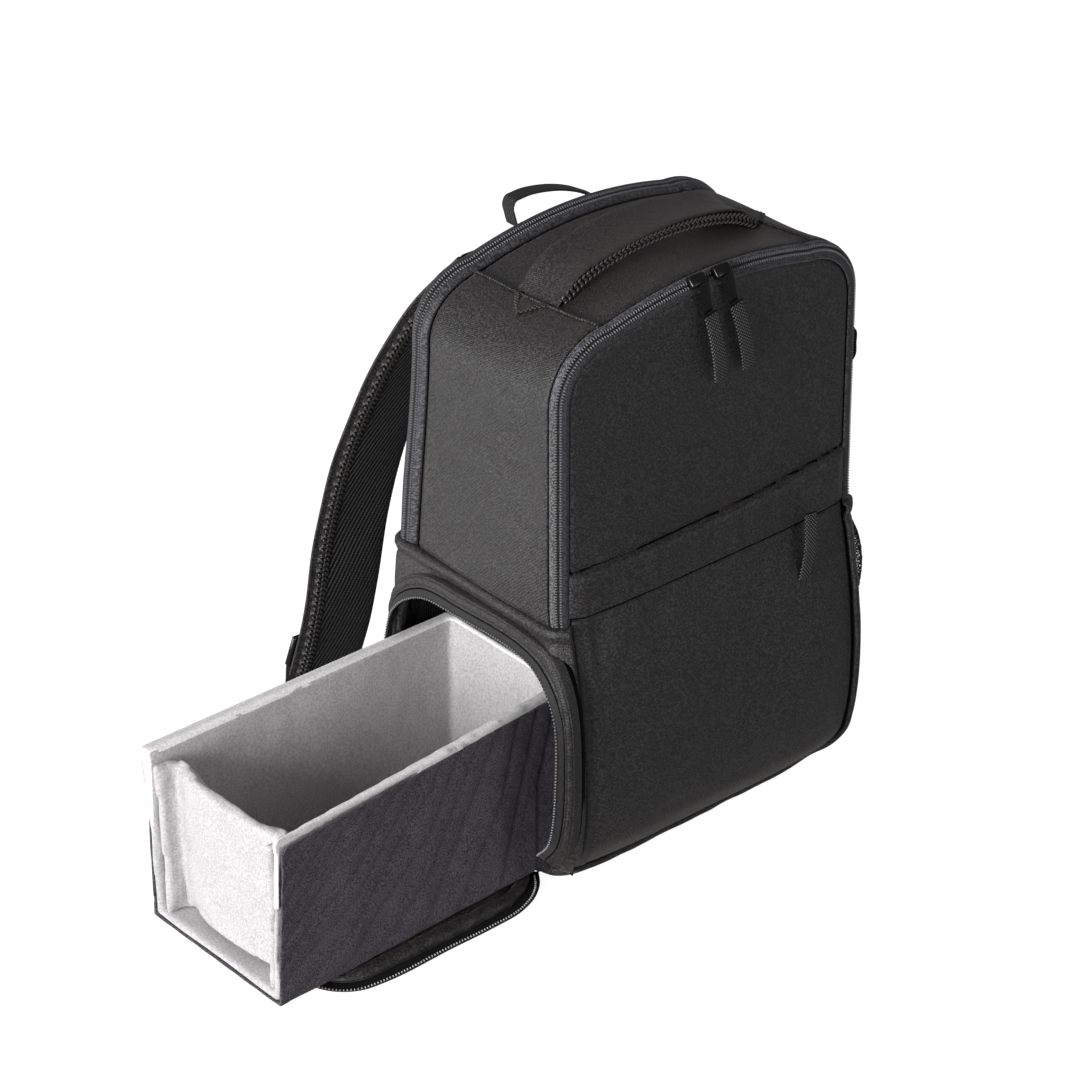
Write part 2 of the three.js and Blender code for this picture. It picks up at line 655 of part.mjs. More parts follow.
const flapTapeSection = [
  { inset: 0, z: 0.2 }, { inset: 1, z: 0.2 }, { inset: 1, z: 0.38 },
  { inset: 0.4, z: 0.38 }, { inset: 0.3, z: 0.45 }, { inset: 0, z: 0.45 },
];
add(bag, 'flap_zipper', rimAround(flapTapeSection, flapTape - gap, -flapTape), colours.zipTape);

// Camera insert: a tub with three walls and a floor, open at its outer end and on top
const insertFoot = flapHeight + gap;
const insertMouth = insertInnerEnd - insertLength;
const upShare = (z) => (z - insertFoot) / insertHeight;
const nearFace = (out, z) => insertNear - mix(insertFootFlare, insertFlare, upShare(z)) * out;
const farFace = (out, z) => insertFar + mouthSlant * 0.5 * out * (1 - upShare(z));
const insertTop = insertFoot + insertHeight;
function tubVolume(inset, extra) {
  const outs = [inset / insertLength, 0.25, 0.5, 0.75, 1];
  const levels = [insertFoot + inset, insertTop];
  if (extra > 0) {
    outs.push(1 + extra / insertLength);
    levels.push(insertTop + extra);
  }
  const far = levels.map((z) => [farFace, z, -1]);
  const near = levels.map((z) => [nearFace, z, 1]).reverse();
  const endAt = (out, z) => insertInnerEnd - insertLength * out + mouthSlant * out * (1 - upShare(z));
  return loft(outs.map((out) => [...far, ...near].map(([face, z, side]) =>
    vec(endAt(out, z), face(out, z) + side * inset, z))));
}
const reach = 2 * liningWall;
const tub = (inset, wall) => cut(tubVolume(inset, 0), tubVolume(inset + wall, reach));
add(insert, 'insert_cover', tub(0, coverWall), colours.charcoal);
const liningInset = coverWall + gap;
add(insert, 'insert_lining', tub(liningInset, liningWall), colours.fleece);

// Divider across the open end: a bowed panel with a wing folded along each long wall
const dividerInset = liningInset + liningWall + dividerWall / 2 + gap;
const dividerX = insertMouth + dividerSetback;
function dividerPolygon(z, share) {
  const near = insertNear - mix(insertFootFlare, insertFlare, share) * 0.9 + dividerInset;
  const far = insertFar - dividerInset;
  const wing = dividerSetback - 2;
  const slant = mouthSlant * (1 - share);
  const path = [
    [dividerX - wing, near], [dividerX - wing * 0.4, near], [dividerX, near + dividerWall],
    [dividerX - dividerBow * 0.7, mix(near, far, 0.3)], [dividerX - dividerBow * 0.7, mix(near, far, 0.7)],
    [dividerX, far - dividerWall], [dividerX - wing * 0.4, far], [dividerX - wing, far],
  ].map(([x, y]) => vec(x + slant, y, z));
  const offset = path.map((p, k) => {
    const along = path[Math.min(k + 1, path.length - 1)].clone().sub(path[Math.max(k - 1, 0)]).normalize();
    return vec(-along.y, along.x, 0).multiplyScalar(dividerWall / 2);
  });
  const left = path.map((p, k) => p.clone().add(offset[k]));
  const right = path.map((p, k) => p.clone().sub(offset[k]));
  return { left, right };
}
const dividerFoot = insertFoot + liningInset + liningWall + gap;
const dividerRows = [0, 0.5, 1].map((share) =>
  dividerPolygon(mix(dividerFoot, insertTop - dividerDrop, share), share));
const dividerSides = ['left', 'right'].map((hand) => dividerRows.map((row) => row[hand]));
add(insert, 'insert_divider', wallSolid(...dividerSides), colours.fleece);

// Grab handle: a padded strap arched over the top, on a pointed patch at each end
const topMiddle = stationLine('upper', station.middle);
const topCentre = topMiddle[(topMiddle.length - 1) / 2].p;
const heightAlong = (line) => (x) => {
  const k = line.findIndex(({ p }, i) => i > upperHeights.length && p.x >= x);
  const [a, b] = [line[k - 1].p, line[k].p];
  return mix(a.z, b.z, (x - a.x) / (b.x - a.x));
};
const topAt = heightAlong(topMiddle);
const handleRows = [
  { along: -1.00, lift: 0.00 }, { along: -0.80, lift: 0.55 }, { along: -0.45, lift: 0.95 },
  { along: 0.00, lift: 1.05 },
  { along: 0.45, lift: 0.95 }, { along: 0.80, lift: 0.55 }, { along: 1.00, lift: 0.00 },
];
const handlePath = (share, seat, lifted) => handleRows.map(({ along, lift }) => {
  const x = (along * share * handleLength) / 2;
  const above = lift > 0 ? lifted : seat;
  return vec(x, topCentre.y, topAt(x) + lift * handleLift + above);
});
const acrossHandle = () => vec(0, 1, 0);
const handleSteps = 14;
const padSection = (width, thickness) => () => {
  const [half, flat, face] = [width / 2, width / 2 - thickness / 2, thickness / 2];
  return [[-half, 0], [-flat, -face], [flat, -face], [half, 0], [flat, face], [-flat, face]];
};
const padSeat = handlePad / 2 + handleSlope;
const coverSeat = handleCover / 2 + handleSlope + anchorWall / 2 + gap;
const padLift = handlePad / 2 + handleSeat;
const coverLift = handlePad + handleCover / 2 + handleSeat + gap;
const padFrames = framesAlong(handlePath(padShare, padSeat, padLift), acrossHandle, handleSteps);
add(bag, 'handle_pad', sweep(padFrames, padSection(handleWidth - 2, handlePad)), colours.mesh);
const coverFrames = framesAlong(handlePath(1, coverSeat, coverLift), acrossHandle, handleSteps);
add(bag, 'handle_cover', sweep(coverFrames, padSection(handleWidth, handleCover)), colours.satin);

// Zipper sliders and their pulls at the top of the front zipper
const zipPlace = stationLine('upper', station.frontEdge);
const zipInner = stationLine('upper', station.frontSeam);
const zipTop = zipPlace[(zipPlace.length - 1) / 2].p;
const zipFoot = zipInner[(zipInner.length - 1) / 2].p;
const pulls = [
  { name: 'left', x: -15, drift: 16 }, { name: 'right', x: 8, drift: 20 },
];
pulls.forEach(({ name, x, drift }) => {
  const rollNormal = vec(0, -Math.SQRT1_2, Math.SQRT1_2);
  const centre = zipTop.clone().add(zipFoot).multiplyScalar(0.5).setX(x);
  centre.addScaledVector(rollNormal, coilRise + gap + sliderHeight / 2);
  const box = closedBox(sliderLength, sliderWidth, sliderHeight);
  box.rotateX(Math.PI / 4).translate(centre.x, centre.y, centre.z);
  add(bag, `front_slider_${name}`, box, colours.gloss);
  const down = vec(drift, 0, -tabLength - pullLength).normalize();
  const nose = ((sliderWidth + sliderHeight) / 2) * Math.SQRT1_2;
  const start = vec(x, centre.y - nose - gap - webbingWall / 2, centre.z);
  const joint = start.clone().addScaledVector(down, tabLength);
  const end = joint.clone().addScaledVector(down, pullLength);
  const side = () => vec(-down.z, 0, down.x);
  const tabFrames = framesAlong([start, joint], side, 1);
  add(bag, `front_tab_${name}`, sweep(tabFrames, flatSection(tabWidth, webbingWall)), colours.gloss);
  const pullFrames = framesAlong([joint.clone().addScaledVector(down, gap), end], side, 1);
  add(bag, `front_pull_${name}`, sweep(pullFrames, flatSection(pullWidth, webbingWall)), colours.webbing);
});

// Pointed patches under the handle's ends, laid on the gusset round its corners
const skinLines = [0.35, 0.67, 1, 1.27, 1.5].map((place) => skinLine('upper', station.frontFlat + place));
const patchRows = [
  { step: 0.30, wide: 1.00 }, { step: 0.00, wide: 0.97 }, { step: -0.50, wide: 0.82 },
  { step: -1.00, wide: 0.55 }, { step: -1.35, wide: 0.32 }, { step: -1.70, wide: 0.06 },
];
const cornerTop = upperHeights.length + cornerSteps;
const onLine = (line, place) => {
  const index = Math.floor(place);
  const [a, b] = [line[index], line[index + 1]];
  const t = place - index;
  return { p: a.p.clone().lerp(b.p, t), n: a.n.clone().lerp(b.n, t).normalize() };
};
[1, -1].forEach((side) => {
  const grid = (out) => patchRows.map(({ step, wide }) => skinLines.map((line, c) => {
    const place = side > 0 ? line.length - 1 - cornerTop - step : cornerTop + step;
    const { p, n } = onLine(line, place);
    const middle = onLine(skinLines[2], place).p;
    const across = (Math.abs(c - 2) / 2) * (anchorWidth / 2) * wide;
    const share = c === 2 ? 0 : across / Math.abs(p.y - middle.y);
    return middle.clone().lerp(p, share).addScaledVector(n, gap + out);
  }));
  const hand = side > 0 ? 'right' : 'left';
  add(bag, `handle_anchor_${hand}`, wallSolid(grid(anchorWall), grid(0)), colours.satin);
});

// Pull tab of the front pocket, hanging over the placket's lower edge
const pullX = bagWidth * pocketPullOut;
const pullTop = seamHeight + 2 * placketFoot + pocketLap;
const pullRows = [0, 0.2, 0.4, 0.7, 1].map((share) => {
  const z = pullTop - share * pocketPullLength;
  const lap = z > seamHeight - placketFoot ? frontSwell(acrossAt(pullX), z) + pocketWall : 0;
  const skin = railAt('front', z) - Math.max(lap, pocketSwell(acrossAt(pullX), z));
  return vec(pullX - share * pocketPullDrift, skin - 2 * gap - webbingWall / 2, z);
});
add(bag, 'pocket_pull', sweep(framesAlong(pullRows, () => vec(1, 0, 0), 6),
  flatSection(pocketPullWidth, webbingWall)), colours.webbing);

// Hang loop at the top of the back: a tall left leg, then a slope down to the right
const backTop = stationLine('upper', station.backEdge);
const backCentre = backTop[(backTop.length - 1) / 2].p;
const loopRows = [
  { along: -0.500, lift: 0.00 }, { along: -0.545, lift: 0.55 }, { along: -0.540, lift: 0.95 },
  { along: -0.330, lift: 0.95 }, { along: -0.100, lift: 0.78 }, { along: 0.220, lift: 0.40 },
  { along: 0.460, lift: 0.00 },
];
const loopSeat = heightAlong(backTop);
const loopLift = 2 * gap + webbingWall / 2;
const loopPath = loopRows.map(({ along, lift }) => {
  const x = along * loopSpan;
  return vec(x, backCentre.y + loopWidth * 0.45, loopSeat(x) + loopLift + lift * loopRise);
});
const loopFrames = framesAlong(loopPath, () => vec(0, 1, 0), 16);
add(bag, 'hang_loop', sweep(loopFrames, flatSection(loopWidth, webbingWall)), colours.webbing);

// Webbing loop on the right side of the gusset
const sideLoopTop = bagHeight - sideLoopDrop + sideLoopHeight / 2;
const sideLoopY = railAt('front', sideLoopTop) + sideLoopSetback;
const sideLoopX = bagWidth / 2 - (stations[station.frontFlat].side * edgeRoll) / 2 + gap + webbingWall / 2;
const sideLoopRows = [
  { up: 1, out: 0 }, { up: 0.86, out: 0.85 }, { up: 0.5, out: 1 },
  { up: 0.14, out: 0.85 }, { up: 0, out: 0 },
];
const sideLoopPath = sideLoopRows.map(({ up, out }) =>
  vec(sideLoopX + out * sideLoopRise, sideLoopY, sideLoopTop - (1 - up) * sideLoopHeight));
const sideLoopFrames = framesAlong(sideLoopPath, () => vec(0, 1, 0), 10);
add(bag, 'side_loop', sweep(sideLoopFrames, flatSection(sideLoopWidth, webbingWall)), colours.webbing);

// Bottle pocket of mesh on the right side, with a webbing hem
const meshSpans = 8;
const meshRows = [0, 0.2, 0.45, 0.7, 1];
function meshPoint(across, z, share) {
  const front = railAt('front', z) + edgeRoll;
  const y = mix(front, railAt('zipFront', z), across);
  const swell = Math.sin(Math.PI * across ** 0.5) * (0.8 * Math.sin(Math.PI * share ** 1.1) + 0.2 * share);
  return vec(sideFace(z) + gap + meshBulge * swell, y, z);
}
function meshLine(z, out) {
  const total = Math.min((z - meshFoot) / (meshTop - meshFoot), 1);
  return Array.from({ length: meshSpans + 1 }, (_, c) =>
    meshPoint(c / meshSpans, z, total).add(vec(out, 0, 0)));
}
const meshSheet = (low, high, shares, wall) => wallSolid(...[wall, 0].map((out) =>
  shares.map((share) => meshLine(mix(low, high, share), out))));
add(bag, 'mesh_pocket', meshSheet(meshFoot, meshTop, meshRows, meshWall), colours.mesh);
const hem = meshSheet(meshTop + gap, meshTop + hemHeight, [0, 1], meshWall * 1.5);
add(bag, 'mesh_pocket_hem', hem, colours.webbing);

// Shoulder straps. Shares of the drop, the reach behind the bag and the splay outwards.
const strapRows = [
  { down: 0.000, reach: 0.000, splay: 0.00 }, { down: 0.045, reach: 0.105, splay: 0.08 },
  { down: 0.165, reach: 0.345, splay: 0.235 }, { down: 0.325, reach: 0.547, splay: 0.47 },
  { down: 0.485, reach: 0.700, splay: 0.65 }, { down: 0.650, reach: 0.800, splay: 0.80 },
  { down: 0.815, reach: 0.860, splay: 0.90 }, { down: 0.910, reach: 0.910, splay: 0.95 },
  { down: 1.000, reach: 0.980, splay: 1.00 },
];
const strapSteps = 20;
const strapStartZ = bagHeight - strapTop;
const strapStartY = railAt('back', strapStartZ) + backBulge * 0.4 + strapPad / 2 + gap;
const foldSteps = 5;
[-1, 1].forEach((side) => {
  const name = side < 0 ? 'left' : 'right';
  const path = strapRows.map((row) => vec(
    side * (strapSpacing + row.splay * strapSplay),
    strapStartY + row.reach * strapReach,
    strapStartZ - row.down * strapDrop,
  ));
  const acrossStrap = () => vec(1, 0, 0);
  const frames = framesAlong(path, acrossStrap, strapSteps);
  const coverBase = strapPad / 2 + 2 * gap + strapCover / 2;
  const coverShape = () => padSection(strapWidth, strapCover)()
    .map(([across, out]) => [across, out + coverBase]);
  add(bag, `strap_pad_${name}`, sweep(frames, padSection(strapWidth - 4, strapPad)), colours.mesh);
  add(bag, `strap_cover_${name}`, sweep(frames, coverShape), colours.satin);

  // Ladder-lock buckle that stands off the strap's outer face near its lower end
  const end = frames[strapSteps];
  const along = end.face.clone().cross(end.side);
  const overStrap = (frame, out) => frame.p.clone().addScaledVector(frame.side, side * buckleShift)
    .addScaledVector(frame.face, coverBase + strapCover / 2 + out);
  const centre = overStrap(end, buckleStand).addScaledVector(along, -buckleRise);
  const slotLength = (buckleLength - 3 * buckleBar) / 2;
  const slotWidth = buckleWidth - 2 * buckleBar;
  const slot = (shift) => closedBox(slotWidth + 1, slotLength, 2 * buckleHeight).translate(0, shift, 0);
  const slotShift = (slotLength + buckleBar) / 2;
  const plate = closedBox(buckleWidth, buckleLength, buckleHeight);
  const ladder = cut(cut(plate, slot(slotShift)), slot(-slotShift));
  const basis = new THREE.Matrix4().makeBasis(end.side, along, end.side.clone().cross(along));
  basis.setPosition(centre);
  add(bag, `buckle_${name}`, ladder.applyMatrix4(basis), colours.gloss);

  // Short webbing, sewn to the strap's face, that holds the buckle's upper bar
  const inBuckle = (a, out) => centre.clone().addScaledVector(along, a).addScaledVector(end.face, out);
  const sewn = [3, 2].map((up) => overStrap(frames[strapSteps - up], webbingWall / 2 + 3 * gap));
  const barEdge = inBuckle(-buckleLength / 2 - 2 * gap, -buckleTabLift);
  const beltSection = flatSection(slotWidth - 2, webbingWall);
  const tabFrames = framesAlong([...sewn, barEdge], acrossStrap, 6);
  add(bag, `buckle_tab_${name}`, sweep(tabFrames, beltSection), colours.webbing);

  // Webbing from the lower back corner, folded over the buckle's middle bar, and its tail
  const off = buckleHeight / 2 + webbingWall + 2 * gap;
  const turn = buckleBar / 2 + webbingWall + 3 * gap;
  const cornerZ = baseRadius;
  const cornerX = side * (bagWidth / 2 - edgeRoll * 1.8 - webbingWidth / 4);
  const cornerY = railAt('back', cornerZ) + cornerTabLength + backBulge;
  const run = inBuckle(buckleLength * 0.62, -off * 1.2);
  const tail = inBuckle(buckleLength * 0.62, off);
  const sewnZ = cornerZ - cornerTabDrop;
  const points = [
    vec(cornerX, cornerY, sewnZ), vec(cornerX, mix(cornerY, run.y, 0.3), cornerZ * 0.45),
    vec(mix(cornerX, run.x, 0.8), mix(cornerY, run.y, 0.75), cornerZ * 0.42),
    run, inBuckle(buckleBar, -off),
  ];
  for (let k = 0; k <= foldSteps; k++) {
    const angle = (k / foldSteps) * Math.PI;
    points.push(inBuckle(-turn * Math.sin(angle), -off * Math.cos(angle)));
  }
  points.push(inBuckle(buckleBar, off), tail);
  points.push(vec(tail.x, tail.y + tailLength * 0.05, tail.z * 0.5));
  points.push(vec(tail.x, tail.y + tailLength * 0.25, webbingWall * 2));
  const beltFrames = framesAlong(points, acrossStrap, 2 * (points.length - 1), false);
  add(bag, `lower_webbing_${name}`, sweep(beltFrames, beltSection), colours.webbing);

  // Corner tab that the webbing is sewn to
  const tabY = railAt('back', cornerZ) + backBulge * 0.2;
  const tabStart = vec(cornerX, tabY, cornerZ);
  const tabEnd = vec(cornerX, cornerY - gap - webbingWall / 4, sewnZ);
  const wingFrames = framesAlong([tabStart, tabEnd], () => vec(0, 0, 1), 3);
  const wingSection = (t) => flatSection(mix(cornerTabHeight, webbingWidth * 0.6, t), webbingWall * 1.4)();
  add(bag, `corner_tab_${name}`, sweep(wingFrames, wingSection), colours.satin);
});

// Slider of the rear zipper, parked on the right side
const rearZip = skinLine('upper', station.zipFront + 0.5);
const parked = rearZip[rearZip.length - upperHeights.length];
const sliderStand = teethRise + 1 + gap + sliderHeight / 2;
const rearSliderCentre = parked.p.clone().addScaledVector(parked.n, sliderStand);
add(bag, 'rear_slider', closedBox(sliderHeight, sliderWidth, sliderLength)
  .translate(rearSliderCentre.x, rearSliderCentre.y, rearSliderCentre.z), colours.gloss);
const rearPullTop = rearSliderCentre.clone().add(vec(webbingWall, 0, -sliderLength / 2 - gap));
const rearPullFoot = rearPullTop.clone().add(vec(0, 0, -pullLength));
const rearPullFrames = framesAlong([rearPullTop, rearPullFoot], () => vec(0, 1, 0), 1);
add(bag, 'rear_pull', sweep(rearPullFrames, flatSection(pullWidth - 2, webbingWall)), colours.webbing);

export default backpack;
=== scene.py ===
import math
import bpy
import numpy as np
from mathutils import Matrix, Vector, noise


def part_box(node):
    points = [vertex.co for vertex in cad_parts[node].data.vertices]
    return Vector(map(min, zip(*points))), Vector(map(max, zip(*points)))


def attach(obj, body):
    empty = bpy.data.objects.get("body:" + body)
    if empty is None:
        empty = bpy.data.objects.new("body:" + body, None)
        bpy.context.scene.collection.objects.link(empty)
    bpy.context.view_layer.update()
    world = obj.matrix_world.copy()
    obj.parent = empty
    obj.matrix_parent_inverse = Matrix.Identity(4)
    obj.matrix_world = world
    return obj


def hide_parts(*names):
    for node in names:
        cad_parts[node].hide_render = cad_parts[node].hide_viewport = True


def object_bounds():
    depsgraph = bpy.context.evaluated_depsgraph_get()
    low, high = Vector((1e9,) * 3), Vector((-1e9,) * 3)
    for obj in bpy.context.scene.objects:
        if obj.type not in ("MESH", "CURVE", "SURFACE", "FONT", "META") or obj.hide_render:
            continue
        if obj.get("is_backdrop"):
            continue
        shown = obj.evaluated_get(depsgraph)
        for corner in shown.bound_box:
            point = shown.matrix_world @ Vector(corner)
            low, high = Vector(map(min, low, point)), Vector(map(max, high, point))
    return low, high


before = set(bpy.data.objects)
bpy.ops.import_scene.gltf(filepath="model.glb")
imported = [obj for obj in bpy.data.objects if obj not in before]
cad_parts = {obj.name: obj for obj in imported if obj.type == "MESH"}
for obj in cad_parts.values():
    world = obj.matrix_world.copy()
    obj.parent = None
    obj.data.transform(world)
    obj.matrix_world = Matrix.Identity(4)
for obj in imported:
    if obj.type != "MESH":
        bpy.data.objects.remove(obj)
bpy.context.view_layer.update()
scene = bpy.context.scene

# Photographer's table: a pale floor, a big soft light on the bag's open side, a weaker one
# in front and a long one above the back edge.


def finish(name, colour, roughness, **sockets):
    """A cloth or plastic finish whose constant values sit on its own sockets."""
    made = bpy.data.materials.new(name)
    made.use_nodes = True
    shader = made.node_tree.nodes["Principled BSDF"]
    shader.inputs["Base Color"].default_value = (*colour, 1)
    shader.inputs["Roughness"].default_value = roughness
    for socket, value in sockets.items():
        shader.inputs[socket.replace("_", " ")].default_value = value
    return made


bpy.ops.object.select_all(action="DESELECT")
bpy.ops.mesh.primitive_plane_add(size=60, location=(0, 0, -0.0006))
floor = bpy.context.object
floor.name = "pale_floor"
floor.data.materials.append(
    finish("pale_paper", (0.3, 0.3, 0.3), 0.9, Emission_Color=(1, 1, 1, 1), Emission_Strength=0.93))
floor.visible_glossy = floor.visible_diffuse = floor.visible_shadow = False
floor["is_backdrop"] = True
scene.world = bpy.data.worlds.new("pale_room")
scene.world.use_nodes = True
room = scene.world.node_tree.nodes["Background"]
room.inputs["Color"].default_value = (1, 1, 1, 1)
room.inputs["Strength"].default_value = 0.24
scene.view_settings.view_transform = "Standard"
for name, place, aim, size, power in [
    ("open_side", (-2.7, -0.5, 0.80), (-0.1, 0, 0.2), 1.3, 116),
    ("floor_bounce", (-1.36, 1.37, -0.30), (-0.14, 0, 0.34), 0.6, 11),
    ("front", (0.9, -3.0, 1.8), (0, 0, 0.2), 1.6, 20),
    ("back_edge", (-0.3, 2.2, 2.4), (0, 0, 0.3), 1.8, 8),
]:
    bpy.ops.object.light_add(type="AREA", location=place)
    lamp = bpy.context.object
    lamp.name = name
    lamp.data.size = size
    lamp.data.energy = power
    lamp.rotation_euler = (Vector(aim) - Vector(place)).to_track_quat("-Z", "Y").to_euler()

# Camera at the photograph's viewing angle, above the bag's left front corner.
bpy.ops.object.camera_add(location=(-1.9702, -2.1995, 1.9750))
camera = bpy.context.object
camera.rotation_euler = Vector((0.5602, 0.6512, -0.5120)).to_track_quat("-Z", "Y").to_euler()
camera.data.sensor_width = 36
camera.data.lens = 155.87
scene.camera = camera

# Upper gusset: one band of satin twill that runs up the left side, over the top and down
# the right, with a thin foam behind it. It is sewn to the front and rear zippers.
WIDTH, HEIGHT, DEPTH, SEAM = 0.287, 0.474, 0.190, 0.240
TOP_RADIUS, BASE_RADIUS, ARCH, ROLL, PROUD = 0.050, 0.036, 0.012, 0.014, 0.003
CORNER = HEIGHT - ARCH - TOP_RADIUS
# Depths of the bag's seams as shares of its depth, level by level: 1 is the seam under the
# upper half and 2 the top. The last row is the width's share.
LEVELS = np.array([0, 0.03, 0.075, 0.11, 0.16, 0.2, 0.27, 0.46, 0.67, 0.85, 1, 1.19, 1.47, 1.68, 2])
RAILS = {
    "front": [-0.37, -0.389, -0.415, -0.47, -0.52, -0.55, -0.572, -0.589, -0.571, -0.537,
              -0.503, -0.497, -0.495, -0.495, -0.495],
    "zip_front": [0.32, 0.323, 0.327, 0.33, 0.333, 0.336, 0.339, 0.347, 0.342, 0.332,
                  0.321, 0.3, 0.263, 0.242, 0.247],
    "zip_rear": [0.4, 0.405, 0.412, 0.418, 0.427, 0.431, 0.434, 0.44, 0.437, 0.43,
                 0.418, 0.4, 0.353, 0.33, 0.345],
    "back": [0.44, 0.445, 0.452, 0.457, 0.465, 0.469, 0.472, 0.48, 0.476, 0.466,
             0.452, 0.434, 0.39, 0.368, 0.38],
    "wide": [0.975, 0.978, 0.983, 0.987, 0.993, 0.996, 1.001, 1.005, 1.005, 1.004, 1, 1, 1, 1, 0.995],
}
# How far the rolled corners draw in, and the base bows, from the front seam to the back edge.
STATIONS = {
    "side": [0.75, 0, -0.1, -0.2, 0, 0.07, 0.9], "top": [0.75, 0, 0.1, 0.46, 0.64, 0.5, 1.1],
    "base": [1.07, 0.3, 0, 0, 0, 0.1, 0.9], "bow": [1, 0.9, 0.3, 0, 0, 0, 0],
}


def through(x, places, values):
    """Smooth line through a short table, whose values may be one row or one row for each x."""
    places, values = np.asarray(places, float), np.asarray(values, float)
    values = np.broadcast_to(values, (len(x), len(places)))
    slope = np.gradient(values, places, axis=1)
    k = np.clip(np.searchsorted(places, x, side="right") - 1, 0, len(places) - 2)
    r = np.arange(len(x))
    h = places[k + 1] - places[k]
    t = (x - places[k]) / h
    return ((1 + 2 * t) * (1 - t) ** 2 * values[r, k] + t * (1 - t) ** 2 * h * slope[r, k]
            + t * t * (3 - 2 * t) * values[r, k + 1] - t * t * (1 - t) * h * slope[r, k + 1])


def rail(name, z):
    level = np.where(z < SEAM, z / SEAM, 1 + (z - SEAM) / (HEIGHT - SEAM))
    value = through(np.clip(level, 0, 2), LEVELS, RAILS[name])
    return value if name == "wide" else value * DEPTH


def bell(away, width):
    """1 at a line and falling to 0 over the width of a groove or ridge."""
    return np.exp(-(away / width) ** 2)


def swell(x, z, high, low=-0.060):
    """Shape of a stuffed front: full in the middle and flat at its borders."""
    rise = np.sin(np.pi * np.clip((z - low) / (high - low), 0, 1)) ** 0.6
    return (1 - np.minimum(np.abs(2 * x) / WIDTH, 1) ** 4) * rise


def front_swell(x, z):
    return 0.006 * swell(x, z, HEIGHT)


def pocket_swell(x, z):
    return front_swell(x, z) + 0.005 * swell(x, z, SEAM + 0.004)


def bag_skin(part, around, place, out=0.0):
    """Points of the bag's skin: around runs from the left seam over the top, or under the
    base, to the right seam, and place from the front seam, 0, to the back edge, 6."""
    around, place = np.broadcast_arrays(np.asarray(around, float), np.asarray(place, float))
    upper = part == "upper"
    radius = TOP_RADIUS if upper else BASE_RADIUS

    def surface(around, place):
        side, fall, bow = (through(place, range(7), STATIONS[name])
                           for name in ("side", "top" if upper else "base", "bow"))
        if not upper:
            side = np.maximum(side, 0)
        straight = CORNER - SEAM if upper else SEAM - BASE_RADIUS - PROUD
        lengths = np.array([straight, radius * np.pi / 2, WIDTH / 2 - radius])
        s = np.minimum(around, 1 - around) * 2 * lengths.sum()
        turn = np.clip((s - lengths[0]) / lengths[1], 0, 1) * np.pi / 2
        run = np.clip((s - lengths[0] - lengths[1]) / lengths[2], 0, 1)
        rise = np.clip(s, 0, lengths[0]) + (radius - fall * ROLL) * np.sin(turn)
        z = SEAM + rise + ARCH * (1 - (1 - run) ** 2) if upper else SEAM - rise
        x = (WIDTH / 2 - radius) * (1 - run) + (radius - side * ROLL) * np.cos(turn)
        x = np.where(around < 0.5, -x, x)
        edge, zips = rail("front", z), rail("zip_front", z)
        rows = np.stack([edge, edge + 0.68 * ROLL, edge + 2.2 * ROLL, (edge + 0.68 * ROLL + zips) / 2,
                         zips, rail("zip_rear", z), rail("back", z)], axis=1)
        y = through(place, range(7), rows)
        if not upper:
            y = y - bow * pocket_swell(x, z)
        return np.stack([x * rail("wide", z), y, z], axis=1)

    step = 1e-3
    du = surface(np.clip(around + step, 0, 1), place) - surface(np.clip(around - step, 0, 1), place)
    dv = surface(around, np.clip(place + step, 0, 6)) - surface(around, np.clip(place - step, 0, 6))
    normal = np.cross(du, dv) * (1 if upper else -1)
    normal /= np.maximum(np.linalg.norm(normal, axis=1, keepdims=True), 1e-12)
    return surface(around, place) + normal * np.broadcast_to(out, place.shape)[:, None]


def folds(points, size, seed, stretch=(1, 1, 1)):
    """Slow waves from -1 to 1 that stand for the slack of cloth."""
    at = np.asarray(points) * np.asarray(stretch) / size + seed
    return np.array([noise.fractal(Vector(p), 0.6, 2.0, 3) for p in at])


def border(t, length, width):
    """1 at both ends of a run of that length, falling to 0 over the width of a seam."""
    return bell(np.minimum(t, 1 - t) * length, width)


def crowd(t, much=0.6):
    """Sample places that gather at both borders of a panel."""
    return t - much * np.sin(2 * np.pi * t) / (2 * np.pi)


def coords(piece):
    flat = np.empty(len(piece.data.vertices) * 3)
    piece.data.vertices.foreach_get("co", flat)
    return flat.reshape(-1, 3)


def put(piece, points):
    piece.data.vertices.foreach_set("co", np.asarray(points, float).ravel())
    piece.data.update()


def edited(*steps):
    """Runs each step on the whole of the active mesh, in edit mode."""
    bpy.ops.object.mode_set(mode="EDIT")
    for step in steps:
        bpy.ops.mesh.select_all(action="SELECT")
        step()
    bpy.ops.object.mode_set(mode="OBJECT")


def fitted(piece, kind, **settings):
    """Adds a modifier with its settings and applies it."""
    bpy.context.view_layer.objects.active = piece
    added = piece.modifiers.new(kind.lower(), kind)
    for name, value in settings.items():
        setattr(added, name, value)
    bpy.ops.object.modifier_apply(modifier=added.name)


def dress(piece, cloth, body, nodes=()):
    """Gives a piece its cloth and body, and puts it in its nodes' stead."""
    piece.data.materials.append(cloth)
    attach(piece, body)
    if nodes:
        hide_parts(*nodes)
    return piece


def plane_grid(name, columns, rows):
    bpy.ops.object.select_all(action="DESELECT")
    bpy.ops.mesh.primitive_grid_add(x_subdivisions=columns, y_subdivisions=rows, size=1)
    bpy.context.object.name = bpy.context.object.data.name = name
    return bpy.context.object


